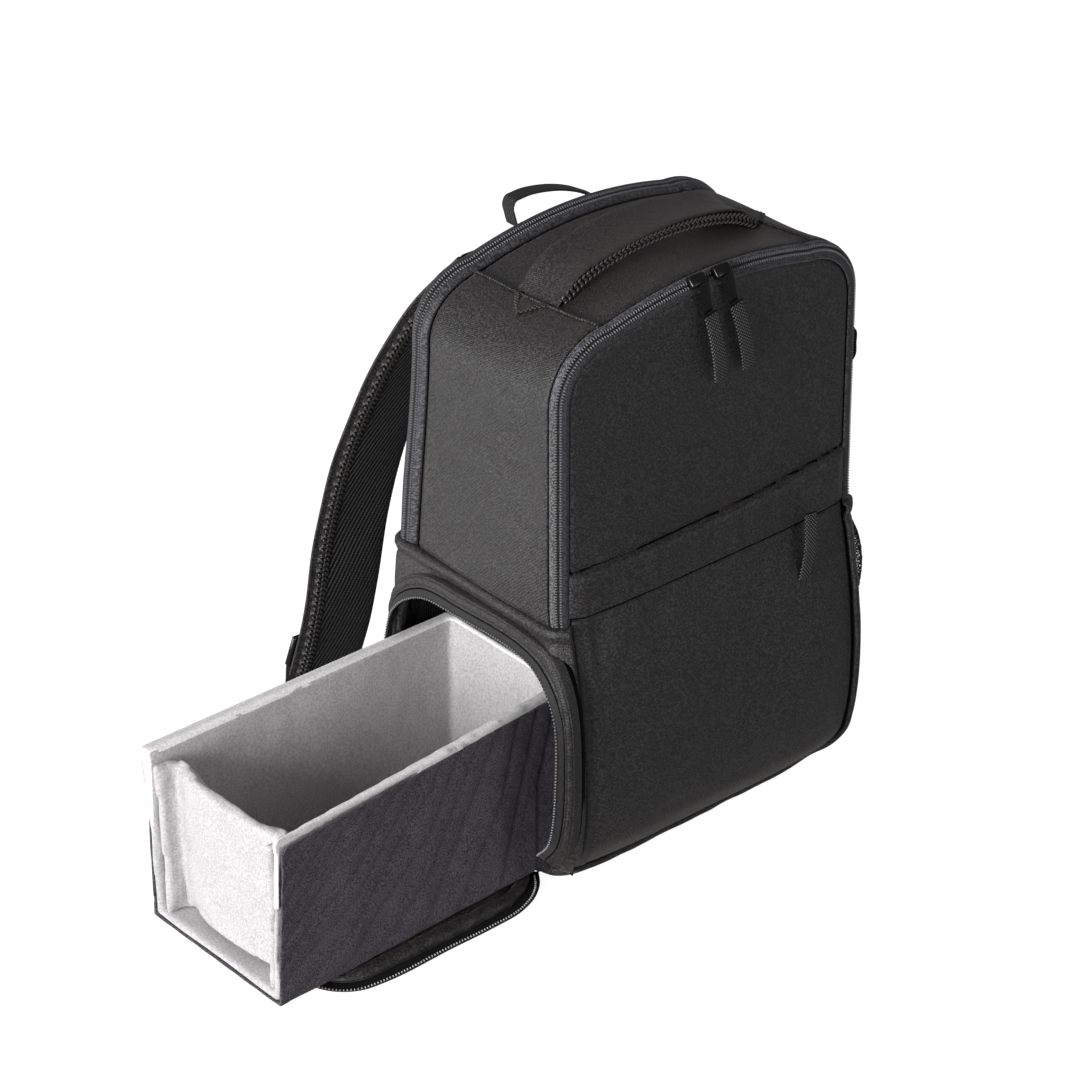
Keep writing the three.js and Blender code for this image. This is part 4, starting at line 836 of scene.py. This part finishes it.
cover = soft_copy("insert_cover", "insert_felt", 0.0017, 3)
at, out = coords(cover), normals_of(cover)
diagonal = np.stack([at[:, 0] + at[:, 2] * 0.55, at[:, 1], at[:, 2] * 0.12], axis=1)
near_wall = np.clip(-(at[:, 1] + 0.05) / 0.01, 0, 1) * np.clip((at[:, 0] + 0.23) / 0.10, 0, 1)
slack = 0.0005 + 0.0003 * folds(at, 0.09, 8.0) + 0.0006 * near_wall * np.abs(folds(diagonal, 0.034, 6.0))
slack *= np.clip((INSERT_TOP - 0.010 - at[:, 2]) / 0.02, 0, 1) * np.clip((at[:, 0] - MOUTH) / 0.06, 0, 1)
lower = np.clip((at[:, 2] - (INSERT_TOP - 0.016)) / 0.016, 0, 1)
at = at + out * slack[:, None]
at[:, 2] -= 0.0068 * lower
edge = bell(at[:, 0] - MOUTH - 0.001, 0.005)
at[:, 0] += edge * (0.0036 + 0.0007 * np.sin(at[:, 1] * 260) * (at[:, 2] < 0.02))
put(cover, round_corner(at, INSERT_TOP - 0.0066, MOUTH + 0.0036, 0.011))
fitted(cover, "DECIMATE", ratio=0.24)
dress(cover, charcoal, "insert", ["insert_cover"])

divider = soft_copy("insert_divider", "insert_partition", 0.0028, 8)
stuff(divider, 6.0, 0.0035)
at, out = coords(divider), normals_of(divider)
put(divider, at + out * (0.0005 * folds(at, 0.04, 3.5) + 0.0002 * folds(at, 0.008, 7.5))[:, None])
dress(divider, fleece, "insert", ["insert_divider"])

# Grab handle: a wide satin strip over spacer mesh, arched over the top and sewn into the
# corner seams. The mesh shows as a plaited edge along its front.
HANDLE_Y = -0.0188
HANDLE_ROWS = [(-1, 0), (-0.8, 0.55), (-0.45, 0.95), (0, 1.05), (0.45, 0.95), (0.8, 0.55), (1, 0)]


def path_frames(rows, side, count):
    """Even samples of a smooth path, each with its side and its outward face direction."""
    rows = np.asarray(rows, float)
    run = run_along(rows)
    fine = np.linspace(0, run[-1], 600)
    points = np.stack([through(fine, run, rows[:, k]) for k in range(3)], axis=1)
    run = run_along(points)
    even = np.linspace(0, run[-1], count)
    points = np.stack([np.interp(even, run, points[:, k]) for k in range(3)], axis=1)
    ahead = np.gradient(points, axis=0)
    ahead /= np.linalg.norm(ahead, axis=1, keepdims=True)
    side = np.broadcast_to(np.asarray(side, float), points.shape)
    side = side - ahead * (side * ahead).sum(1, keepdims=True)
    side /= np.linalg.norm(side, axis=1, keepdims=True)
    return points, side, np.cross(side, ahead)


def rounded(value, soft):
    """A circle's sine or cosine, pushed out to a softer or a squarer corner."""
    return np.sign(value) * np.abs(value) ** soft


def strip(width, thick, soft=0.3, crown=0.0):
    """Section of a flat strip with rounded edges: across and out at an angle round it."""
    def section(t, turn):
        across = width / 2 * rounded(np.cos(turn), soft)
        return across, thick / 2 * rounded(np.sin(turn), 0.7) + crown * (1 - (2 * across / width) ** 2)
    return section


def swept(name, frames, section, around, cloth, node):
    """A closed strip carried along frames, with its ends filled. Its UV map is in millimetres."""
    points, side, face = frames
    piece = plane_grid(name, len(points) - 1, around)
    flat = coords(piece)
    row = np.rint((flat[:, 0] + 0.5) * (len(points) - 1)).astype(int)
    across, out = section(row / (len(points) - 1), 2 * np.pi * (flat[:, 1] + 0.5))
    put(piece, points[row] + side[row] * across[:, None] + face[row] * out[:, None])
    corner = np.empty(len(piece.data.loops), int)
    piece.data.loops.foreach_get("vertex_index", corner)
    spots = np.stack([run_along(points)[row[corner]], across[corner]], axis=1) * 1000
    piece.data.uv_layers[0].data.foreach_set("uv", spots.ravel())
    edited(lambda: bpy.ops.mesh.remove_doubles(threshold=1e-6),
           lambda: bpy.ops.mesh.fill_holes(sides=0),
           lambda: bpy.ops.mesh.normals_make_consistent(inside=False))
    bpy.ops.object.shade_smooth_by_angle(angle=math.radians(50))
    return dress(piece, cloth, "bag", [node])


def spacer_mesh(name, pitch, light=(0.022, 0.021, 0.021)):
    """Black spacer mesh: rows of small round holes."""
    dark = (0.006, 0.006, 0.006)
    cloth = finish(name, dark, 0.75, Specular_IOR_Level=0.3)
    place = add_node(cloth, "ShaderNodeTexCoord")
    cells = add_node(cloth, "ShaderNodeTexVoronoi", Scale=1 / pitch, Randomness=0.15)
    hole = span(cloth, 0.25, 0.6)
    tone = two_tone(cloth, dark, light)
    bump = add_node(cloth, "ShaderNodeBump", Strength=1.0, Distance=0.0009)
    join(cloth, (place, "Object", cells, "Vector"), (cells, "Distance", hole, 0), (hole, 0, tone, 0),
         (tone, 2, "Base Color"), (hole, 0, bump, "Height"), (bump, 0, "Normal"))
    return cloth


def handle_path(share, seat, lifted):
    """Rows of an arc over the top, by its share of the width and its two heights."""
    rows = []
    for along, lift in HANDLE_ROWS:
        x = along * share * 0.094
        top = HEIGHT - 0.46 * ROLL - ARCH * (x / 0.0935) ** 2
        rows.append((x, HANDLE_Y, top + lift * 0.009 + (lifted if lift > 0 else seat)))
    return rows


handle_frames = path_frames(handle_path(0.84, 0.0053, 0.0059), (0, 1, 0), 120)
air_mesh = spacer_mesh("spacer_mesh", 0.0021)
swept("handle_mesh", handle_frames, strip(0.040, 0.0055, 0.5, 0.0012), 40, air_mesh, "handle_pad")


def handle_section(t, turn):
    across, out = strip(0.0425, 0.0032, 0.4, 0.0022)(t, turn)
    pinch = 1 - 0.10 * np.clip(t * 1.6 - 0.6, 0, 1) ** 2
    return across * pinch, out + 0.0006 * np.sin(t * 9 + across * 60)


cover_rows = handle_path(1.035, 0.00536, 0.01026)
for k in (0, -1):
    x, y, z = cover_rows[k]
    cover_rows[k] = (x, y, z - 0.0030)
cover_frames = path_frames(cover_rows, (0, 1, 0), 140)
swept("handle_satin", cover_frames, handle_section, 44, satin, "handle_cover")


def slanting_bead(length, width, height, lean):
    """A small rounded stitch, turned by some degrees from its line."""
    bpy.ops.object.select_all(action="DESELECT")
    bpy.ops.mesh.primitive_uv_sphere_add(segments=7, ring_count=4, radius=0.5)
    bead = bpy.context.object
    bead.scale = (length, width, height)
    bpy.ops.object.transform_apply(scale=True)
    edited(lambda: bpy.ops.transform.rotate(value=math.radians(lean), orient_axis="Z",
                                            center_override=(0, 0, 0)))
    return bead


loop_unit = slanting_bead(0.0056, 0.0025, 0.0028, -38)
plait_yarn = finish("plait_yarn", (0.034, 0.031, 0.030), 0.42, Specular_IOR_Level=0.6)


def plait(name, points, normals, across, apart, pitch):
    """Three rows of slanting loops, the middle one mirrored: a knitted mesh edge."""
    for k in range(3):
        unit = loop_unit.copy()
        unit.data = loop_unit.data.copy()
        if k % 2:
            unit.data.transform(Matrix.Scale(-1, 4, (0, 1, 0)))
            unit.data.flip_normals()
        line = points + across * apart * (k - 1)
        strung(f"{name}_{k + 1}", unit, line, normals, pitch, plait_yarn)
        bpy.data.objects.remove(unit)


points, side, face = path_frames(handle_path(0.98, 0.0050, 0.0059), (0, 1, 0), 160)
plait("handle_plait", points - side * 0.0204 + face * 0.0004, -side, face, 0.0026, 0.0042)

# Zipper sliders, their pressed tabs and the webbing pulls looped through them, with the
# buckles' ladders, which have the same finish.
gunmetal = finish("gunmetal", (0.012, 0.012, 0.013), 0.22, Metallic=0.6)


def woven(name, dark, light, along, across, depth=0.0006):
    """Basket weave read from a strip's own UV map, with a bright thread at every crossing."""
    cloth = finish(name, dark, 0.5)
    uv = add_node(cloth, "ShaderNodeUVMap")
    split = add_node(cloth, "ShaderNodeSeparateXYZ")
    basket = math_node(cloth, "MULTIPLY")
    for k, pitch in enumerate((along, across)):
        turns, wave = math_node(cloth, "MULTIPLY"), math_node(cloth, "SINE")
        turns.inputs[1].default_value = 2 * math.pi / pitch
        join(cloth, (split, k, turns, 0), (turns, 0, wave, 0), (wave, 0, basket, k))
    lift = span(cloth, 0.1, 0.9)
    tone = two_tone(cloth, dark, light)
    bump = add_node(cloth, "ShaderNodeBump", Strength=1.0, Distance=depth)
    join(cloth, (uv, 0, split, 0), (basket, 0, lift, 0), (lift, 0, tone, 0),
         (tone, 2, "Base Color"), (basket, 0, bump, "Height"), (bump, 0, "Normal"))
    return cloth


webbing = woven("pull_webbing", (0.003, 0.003, 0.003), (0.16, 0.157, 0.154), 3.0, 2.6)


def bevelled(source, name, width):
    """A hard fitting: the solid's copy with its edges rounded."""
    piece = solid_copy(source, name, lambda: bpy.ops.mesh.dissolve_limited(angle_limit=math.radians(3)))
    fitted(piece, "BEVEL", width=width, segments=3, limit_method="ANGLE")
    bpy.ops.object.shade_smooth_by_angle(angle=math.radians(40))
    dress(piece, gunmetal, "bag", [source])


def ribbon(name, rows, side, count, width, thick, cloth, node):
    """Flat webbing along a path."""
    swept(name, path_frames(rows, side, count), strip(width, thick), 30, cloth, node)


def middle(node):
    low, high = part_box(node)
    return (low + high) / 2


for name in ("front_slider_left", "front_slider_right", "rear_slider"):
    bevelled(name, name.replace("slider", "runner"), 0.0022)
for name in ("buckle_left", "buckle_right"):
    bevelled(name, name + "_ladder", 0.0011)
for hand, drift in (("left", 0.016), ("right", 0.020)):
    drift = Vector((drift, 0, -0.080)).normalized()
    across, shares = (-drift.z, 0, drift.x), np.linspace(-1, 1, 5)
    centre = middle(f"front_tab_{hand}")
    rows = [tuple(centre + drift * k * 0.012) for k in shares]
    swept(f"front_pull_tab_{hand}", path_frames(rows, across, 12), strip(0.0085, 0.0016, 0.5), 16, gunmetal,
          f"front_tab_{hand}")
    centre = middle(f"front_pull_{hand}")
    rows = [tuple(centre + drift * k * 0.028 - Vector((0, 0.0022 * (1 - k * k) + 0.0024, 0)))
            for k in shares]
    ribbon(f"front_pull_webbing_{hand}", rows, across, 60, 0.0115, 0.0028, webbing, f"front_pull_{hand}")
low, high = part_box("pocket_pull")
rows = []
for t in np.linspace(0, 1, 6):
    bow = (low.y - high.y) * 0.3 * math.sin(math.pi * t) - 0.0012
    x = (high.x - 0.0055) * (1 - t) + (low.x + 0.0055) * t
    rows.append((x, (low.y + high.y) / 2 + bow, high.z * (1 - t) + low.z * t))
ribbon("pocket_pull_webbing", rows, (1, 0, 0), 60, 0.011, 0.0026, webbing, "pocket_pull")
low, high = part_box("rear_pull")
centre = (low + high) / 2
rows = [(centre.x, centre.y, z) for z in np.linspace(high.z, low.z, 5)]
ribbon("rear_pull_webbing", rows, (0, 1, 0), 60, 0.011, 0.0024, webbing, "rear_pull")

# Hang loop at the top of the back and the small loop on the right side: flat webbing.
HANG_ROWS = [(-0.5, 0), (-0.53, 0.4), (-0.55, 0.82), (-0.525, 0.98), (-0.44, 1.0), (-0.1, 0.8),
             (0.22, 0.42), (0.46, 0)]
loop_webbing = woven("loop_webbing", (0.004, 0.004, 0.004), (0.06, 0.058, 0.057), 3.0, 2.0)


def back_edge(z):
    return float(rail("back", np.array([z]))[0])


edge_z = HEIGHT - 1.1 * ROLL
rows = []
for along, lift in HANG_ROWS:
    x = along * 0.076
    rows.append((x, back_edge(edge_z) + 0.0058, edge_z - ARCH * (x / 0.0935) ** 2 + 0.0017 + lift * 0.021))
ribbon("hang_loop_webbing", rows, (0, 1, 0), 110, 0.0125, 0.0020, loop_webbing, "hang_loop")
low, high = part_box("side_loop")
rows = [(low.x + 0.001 + out * 0.005, (low.y + high.y) / 2, high.z - 0.001 - (1 - up) * 0.029)
        for up, out in [(1, 0), (0.86, 0.85), (0.5, 1), (0.14, 0.85), (0, 0)]]
ribbon("side_loop_webbing", rows, (0, 1, 0), 60, 0.0155, 0.0020, loop_webbing, "side_loop")

# Shoulder straps: spacer mesh towards the wearer, foam, and a satin cover on the outside
# whose edge rolls round. A plaited mesh edge runs down the outer long side.
# Each row is how far down, how far out behind the bag and how far to the side.
STRAP_ROWS = [(0, 0, 0), (0.045, 0.105, 0.08), (0.165, 0.345, 0.235), (0.325, 0.547, 0.47),
              (0.485, 0.7, 0.65), (0.65, 0.8, 0.8), (0.815, 0.86, 0.9), (0.91, 0.91, 0.95), (1, 0.98, 1)]
STRAP_Y, STRAP_Z = 0.0787, HEIGHT - 0.036


def strap_frames(sign, count):
    rows = [(sign * (0.055 + splay * 0.051), STRAP_Y + reach * 0.143, STRAP_Z - down * 0.393)
            for down, reach, splay in STRAP_ROWS]
    return path_frames(rows, (1, 0, 0), count)


def ribbed_mesh(name, lean):
    """Knitted spacer mesh with fine slanting ribs, read from a strip's own UV map."""
    cloth = finish(name, (0.004, 0.004, 0.004), 0.7, Specular_IOR_Level=0.3)
    uv = add_node(cloth, "ShaderNodeUVMap")
    turn = add_node(cloth, "ShaderNodeMapping", Rotation=(0, 0, lean))
    rib = add_node(cloth, "ShaderNodeTexWave", Scale=0.0785, Distortion=0.4, Detail=1.0)
    knit = add_node(cloth, "ShaderNodeTexWave", Scale=0.157)
    knit.bands_direction = "Y"
    both = math_node(cloth, "MULTIPLY")
    spread = span(cloth, 0.50, 1.0)
    tone = two_tone(cloth, (0.003, 0.003, 0.003), (0.105, 0.100, 0.097))
    lift = span(cloth, 0, 1, 0.55)
    bump = add_node(cloth, "ShaderNodeBump", Strength=1.0, Distance=0.0016)
    join(cloth, (uv, 0, turn, 0), (turn, 0, rib, "Vector"), (turn, 0, knit, "Vector"), (knit, 1, lift, 0),
         (rib, 1, both, 0), (lift, 0, both, 1), (both, 0, spread, 0), (spread, 0, tone, 0),
         (tone, 2, "Base Color"), (rib, 1, bump, "Height"), (bump, 0, "Normal"))
    return cloth


def pad_section(t, turn):
    across, out = strip(0.0635, 0.0082, 0.62)(t, turn)
    return across, out + 0.0004 * np.sin(t * 23 + across * 50) * np.clip(-np.sin(turn), 0, 1)


def cover_section(t, turn):
    across, out = strip(0.0675, 0.0046, 0.35, 0.0008)(t, turn)
    seam = 0.0012 * bell(np.abs(across) - 0.029, 0.0012)
    return across, out + 0.0058 + 0.0004 * np.sin(t * 31 + across * 80) - seam


for sign, hand in ((-1, "left"), (1, "right")):
    ribs = ribbed_mesh(f"ribbed_mesh_{hand}", sign * math.radians(66))
    swept(f"strap_mesh_{hand}", strap_frames(sign, 220), pad_section, 44, ribs, f"strap_pad_{hand}")
    points, side, face = frames = strap_frames(sign, 260)
    swept(f"strap_satin_{hand}", frames, cover_section, 56, satin, f"strap_cover_{hand}")
    edge = points + side * sign * 0.0285 - face * 0.0036
    plait(f"strap_plait_{hand}", edge, -face, side, 0.0030, 0.0044)

# Buckles' webbing: a short tab from the strap holds each ladder, and the webbing from the
# lower back corner folds over its middle bar and hangs to the floor as a tail.
corner_webbing = woven("corner_webbing", (0.004, 0.004, 0.004), (0.05, 0.048, 0.048), 3.2, 2.4)
BAR_OFF, BAR_TURN = 0.00492, 0.00508


def wing(t, turn):
    """Section of the satin tab at the lower corner, which narrows towards its webbing."""
    width = 0.036 * (1 - t) + 0.015 * t
    return width / 2 * rounded(np.cos(turn), 0.4), 0.0014 * rounded(np.sin(turn), 0.7)


for sign, hand in ((-1, "left"), (1, "right")):
    points, side, face = strap_frames(sign, 261)
    along = np.cross(face[-1], side[-1])

    def over_strap(share, out):
        k = int(round(share * 260))
        return points[k] + side[k] * sign * 0.006 + face[k] * (0.00812 + out)

    centre = over_strap(1, 0.011) - along * 0.009

    def in_buckle(a, out):
        return centre + along * a + face[-1] * out

    rows = [over_strap(0.85, 0.00208), over_strap(0.9, 0.00208), in_buckle(-0.01572, -0.002)]
    ribbon(f"buckle_webbing_{hand}", rows, (1, 0, 0), 40, 0.028, 0.002, loop_webbing, f"buckle_tab_{hand}")
    x, y = sign * (WIDTH / 2 - ROLL * 1.8 - 0.00625), back_edge(BASE_RADIUS) + 0.032
    run, tail = in_buckle(0.0186, -BAR_OFF * 1.2), in_buckle(0.0186, BAR_OFF)
    rows = [(x, y, BASE_RADIUS - 0.004), (x, y * 0.7 + run[1] * 0.3, BASE_RADIUS * 0.45),
            (x * 0.2 + run[0] * 0.8, y * 0.25 + run[1] * 0.75, BASE_RADIUS * 0.42),
            run, in_buckle(0.004, -BAR_OFF)]
    for k in range(6):
        turn = k * math.pi / 5
        rows.append(in_buckle(-BAR_TURN * math.sin(turn), -BAR_OFF * math.cos(turn)))
    rows += [in_buckle(0.004, BAR_OFF), tail, (tail[0], tail[1] + 0.0035, tail[2] * 0.5),
             (tail[0], tail[1] + 0.0175, 0.004)]
    ribbon(f"corner_webbing_{hand}", rows, (1, 0, 0), 260, 0.0275, 0.0019, corner_webbing,
           f"lower_webbing_{hand}")
    ends = np.array([(x, back_edge(BASE_RADIUS) + 0.0016, BASE_RADIUS),
                     (x, y - 0.00086, BASE_RADIUS - 0.004)])
    rows = [ends[0], ends.mean(axis=0), ends[1]]
    swept(f"corner_wing_{hand}", path_frames(rows, (0, 0, 1), 24), wing, 28, satin, f"corner_tab_{hand}")

# Door flap on the floor: a padded satin roll round a mesh panel, with the other half of
# the door's zipper along its outer edge.
HINGE = -(WIDTH / 2 - BASE_RADIUS) * 0.975 - math.sqrt(0.039 ** 2 - 0.030 ** 2) - GAP
FLAP_OUT, FLAP_HALF, FLAP_RADIUS, HINGE_REACH = 0.203, 0.080, 0.034, 0.034
HINGE_ROWS = [(0, 0.85), (0.25, 0.52), (0.6, 0.25), (1.1, 0.06), (1.9, 0), (3, 0)]


def flap_line(inset, z):
    """Line on the flap at an inset from its outline, from the near hinge corner to the far."""
    tip, radius, rows = HINGE - FLAP_OUT + inset, FLAP_RADIUS - inset / 2, []
    for hand in (-1, 1):
        edge = 0.003 + hand * (FLAP_HALF - inset)
        half = [(HINGE - out * HINGE_REACH, edge - hand * tucked * HINGE_REACH, z)
                for out, tucked in HINGE_ROWS]
        for k in range(6):
            c, s = math.cos(k * math.pi / 10), math.sin(k * math.pi / 10)
            half.append((tip + radius * (1 - s), edge - hand * radius * (1 - c), z))
        rows += half if hand < 0 else half[::-1]
    return np.array(rows)


def flap_tape_section(t, turn):
    return 0.0010 * rounded(np.sin(turn), 0.7), 0.0072 * rounded(np.cos(turn), 0.35)


flap_roll = soft_copy("flap_rim", "flap_roll", 0.0021, 6)
stuff(flap_roll, 5.0, 0.0018, 14)
at, out = coords(flap_roll), normals_of(flap_roll)
wrinkle = folds(at, 0.022, 12.0, (0.5, 1, 1)) + 0.6 * folds(at, 0.010, 2.0, (1, 0.5, 1))
lifted = np.clip((at[:, 2] - 0.0025) / 0.004, 0, 1)
put(flap_roll, at + out * (0.0014 * wrinkle * lifted)[:, None])
dress(flap_roll, satin, "bag", ["flap_rim"])
flap_base = soft_copy("flap_panel", "flap_base", 0.0028, 3)
at, out = coords(flap_base), normals_of(flap_base)
sideways = out * np.array([1, 1, 0]) * np.clip((0.0075 - at[:, 2]) / 0.001, 0, 1)[:, None]
put(flap_base, at + 0.0022 * sideways)
dress(flap_base, satin, "bag", ["flap_panel"])
flap_net = soft_copy("flap_mesh", "flap_net", 0.0022, 1)
at, out = coords(flap_net), normals_of(flap_net)
put(flap_net, at + out * (0.0006 * folds(at, 0.03, 2.0))[:, None])
dress(flap_net, spacer_mesh("honeycomb_mesh", 0.0033, (0.045, 0.044, 0.044)), "bag", ["flap_mesh"])
tape_weave = woven("flap_tape_weave", (0.003, 0.003, 0.003), (0.008, 0.008, 0.008), 1.6, 1.4, 0.00015)
tape_frames = path_frames(flap_line(0.0006, 0.0030), (0, 0, 1), 300)
swept("flap_tape", tape_frames, flap_tape_section, 20, tape_weave, "flap_zipper")
points, _, _ = path_frames(flap_line(-0.0054, 0.0043), (0, 0, 1), 400)
strung("flap_teeth", tooth, points, np.array([[0, 0, 1.0]] * 400), TOOTH_PITCH, teeth_metal)

# Bottle pocket: a stretched diamond net on the right side, gathered under a webbing hem.
NET_FOOT, NET_TOP, HEM_FOOT, HEM_TOP = 0.126, 0.222, 0.2225, 0.235


def net_face(u, v, low=NET_FOOT, high=NET_TOP):
    z = low + (high - low) * v
    share = np.clip((z - NET_FOOT) / 0.096, 0, 1)
    front = rail("front", z) + ROLL
    y = front + (rail("zip_front", z) - front) * u
    full = np.sin(np.pi * np.sqrt(u)) * (0.8 * np.sin(np.pi * share ** 1.1) + 0.2 * share)
    return np.stack([WIDTH / 2 * rail("wide", z) + PROUD + 0.0006 + 0.030 * full, y, z], axis=1)


def hem_face(u, v):
    points = net_face(u, v, HEM_FOOT, HEM_TOP)
    points[:, 0] += 0.0024 + 0.0007 * np.sin(u * 150)
    return points


net = plane_grid("bottle_net", 32, 22)
flat = coords(net)
at = net_face(flat[:, 0] + 0.5, flat[:, 1] + 0.5)
put(net, at + 0.0006 * np.stack([folds(at, 0.01, k) for k in (1.0, 2.0, 3.0)], axis=1))
corners = len(net.data.vertices)
edited(bpy.ops.mesh.poke)
with_picked("EDGE", net.data.edges, lambda edge: max(edge.vertices) < corners,
            lambda: bpy.ops.mesh.dissolve_edges(use_verts=False))
fitted(net, "WIREFRAME", thickness=0.00105, use_boundary=True)
bpy.ops.object.shade_smooth()
dress(net, finish("net_yarn", (0.03, 0.03, 0.03), 0.45), "bag", ["mesh_pocket"])
hem_webbing = woven("hem_webbing", (0.005, 0.005, 0.005), (0.045, 0.044, 0.044), 1 / 50, 1 / 5)
sewn_panel("bottle_hem", 120, 12, hem_face, 0.002, hem_webbing, "mesh_pocket_hem")

# Padded back: spacer mesh over foam, full at its sides with an air channel down its middle.
BACK_INSET = 0.9 * ROLL


def back_face(u, v):
    x = (WIDTH / 2 - BACK_INSET - 0.0004) * np.sin(np.pi * (u - 0.5))
    top = top_edge(x, BACK_INSET) - 0.2 * ROLL
    foot = foot_edge(x, BACK_INSET) - 0.0024
    z = foot + (top - foot) * crowd(v, 0.3)
    rim = np.minimum(np.minimum(WIDTH / 2 - BACK_INSET - np.abs(x), top - z), z - foot)

    def full(x):
        across = np.abs(2 * x) / WIDTH
        rise = np.sin(np.pi * np.clip(z / HEIGHT, 0, 1)) ** 0.6
        return (0.008 * (1 - np.minimum(across, 1) ** 4) - 0.005 * bell(across, 0.16)) * rise

    puff = 0.0016 * np.sqrt(np.clip(rim / 0.012, 0, 1)) - 0.0016
    y = rail("back", z) + full(x) - full(half_width(z, BACK_INSET)) + puff
    return np.stack([x * rail("wide", z), y, z], axis=1)


back_cloth = spacer_mesh("back_spacer_mesh", 0.0024, (0.030, 0.029, 0.029))
sewn_panel("back_mesh", 84, 110, back_face, 0.0042, back_cloth, "back_panel", flip=True)

# Pointed patches under the handle's ends: doubled satin, stitched down along their edges
# with a zigzag. The table is the edge's place round the bag and from front to back.
PATCH_EDGE = np.array([(0.3743, 0.33), (0.3546, 0.27), (0.3451, 0.18), (0.3384, 0.105), (0.3318, 0.0),
                       (0.3384, -0.105), (0.3451, -0.18), (0.3546, -0.27), (0.3743, -0.33)])
zigzag = small_unit(0.0019, 0.0008, 0.0008)
pale_thread = finish("patch_thread", (0.06, 0.056, 0.054), 0.5)
for hand in ("left", "right"):
    patch = soft_copy(f"handle_anchor_{hand}", f"handle_patch_{hand}", 0.0009, 2)
    dress(patch, satin, "bag", [f"handle_anchor_{hand}"])
    around = PATCH_EDGE[:, 0] if hand == "left" else 1 - PATCH_EDGE[:, 0]
    place = 3 + PATCH_EDGE[:, 1]
    run = run_along(bag_skin("upper", around, place, 0.0022))
    steps = np.linspace(0, run[-1], 2 * int(run[-1] / 0.0032) + 1)
    around, place = np.interp(steps, run, around), np.interp(steps, run, place)
    swing = 0.0012 * np.where(np.arange(len(steps)) % 2, 1, -1)
    line, above = (bag_skin("upper", around, place, 0.0021 + k) for k in (0, 0.001))
    up = (above - line) / 0.001
    across = np.cross(up, np.gradient(line, axis=0))
    across /= np.linalg.norm(across, axis=1, keepdims=True)
    line = line + across * swing[:, None]
    strung(f"patch_stitches_{hand}", zigzag, line, up, 0.0020, pale_thread)

# Sewn seams that show: twisted edging across the gusset's corners and the placket's topstitch.
twist = slanting_bead(0.0033, 0.0022, 0.0025, -32)
for share, hand in ((CORNER_SHARE, "left"), (1 - CORNER_SHARE, "right")):
    points, normals = surface_line(gusset, share, np.linspace(0.02, 0.98, 200), 0.0010)
    strung(f"corner_edging_{hand}", twist, points, normals, 0.0027, satin)
points, normals = surface_line(placket_face, np.linspace(0.01, 0.99, 400), 0.965, 0.0002)
strung("placket_stitches", stitch, points, normals, STITCH_PITCH, thread)

for unit in (coil_rib, tooth, stitch, loop_unit, twist, zigzag):
    bpy.data.objects.remove(unit)

low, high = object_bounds()
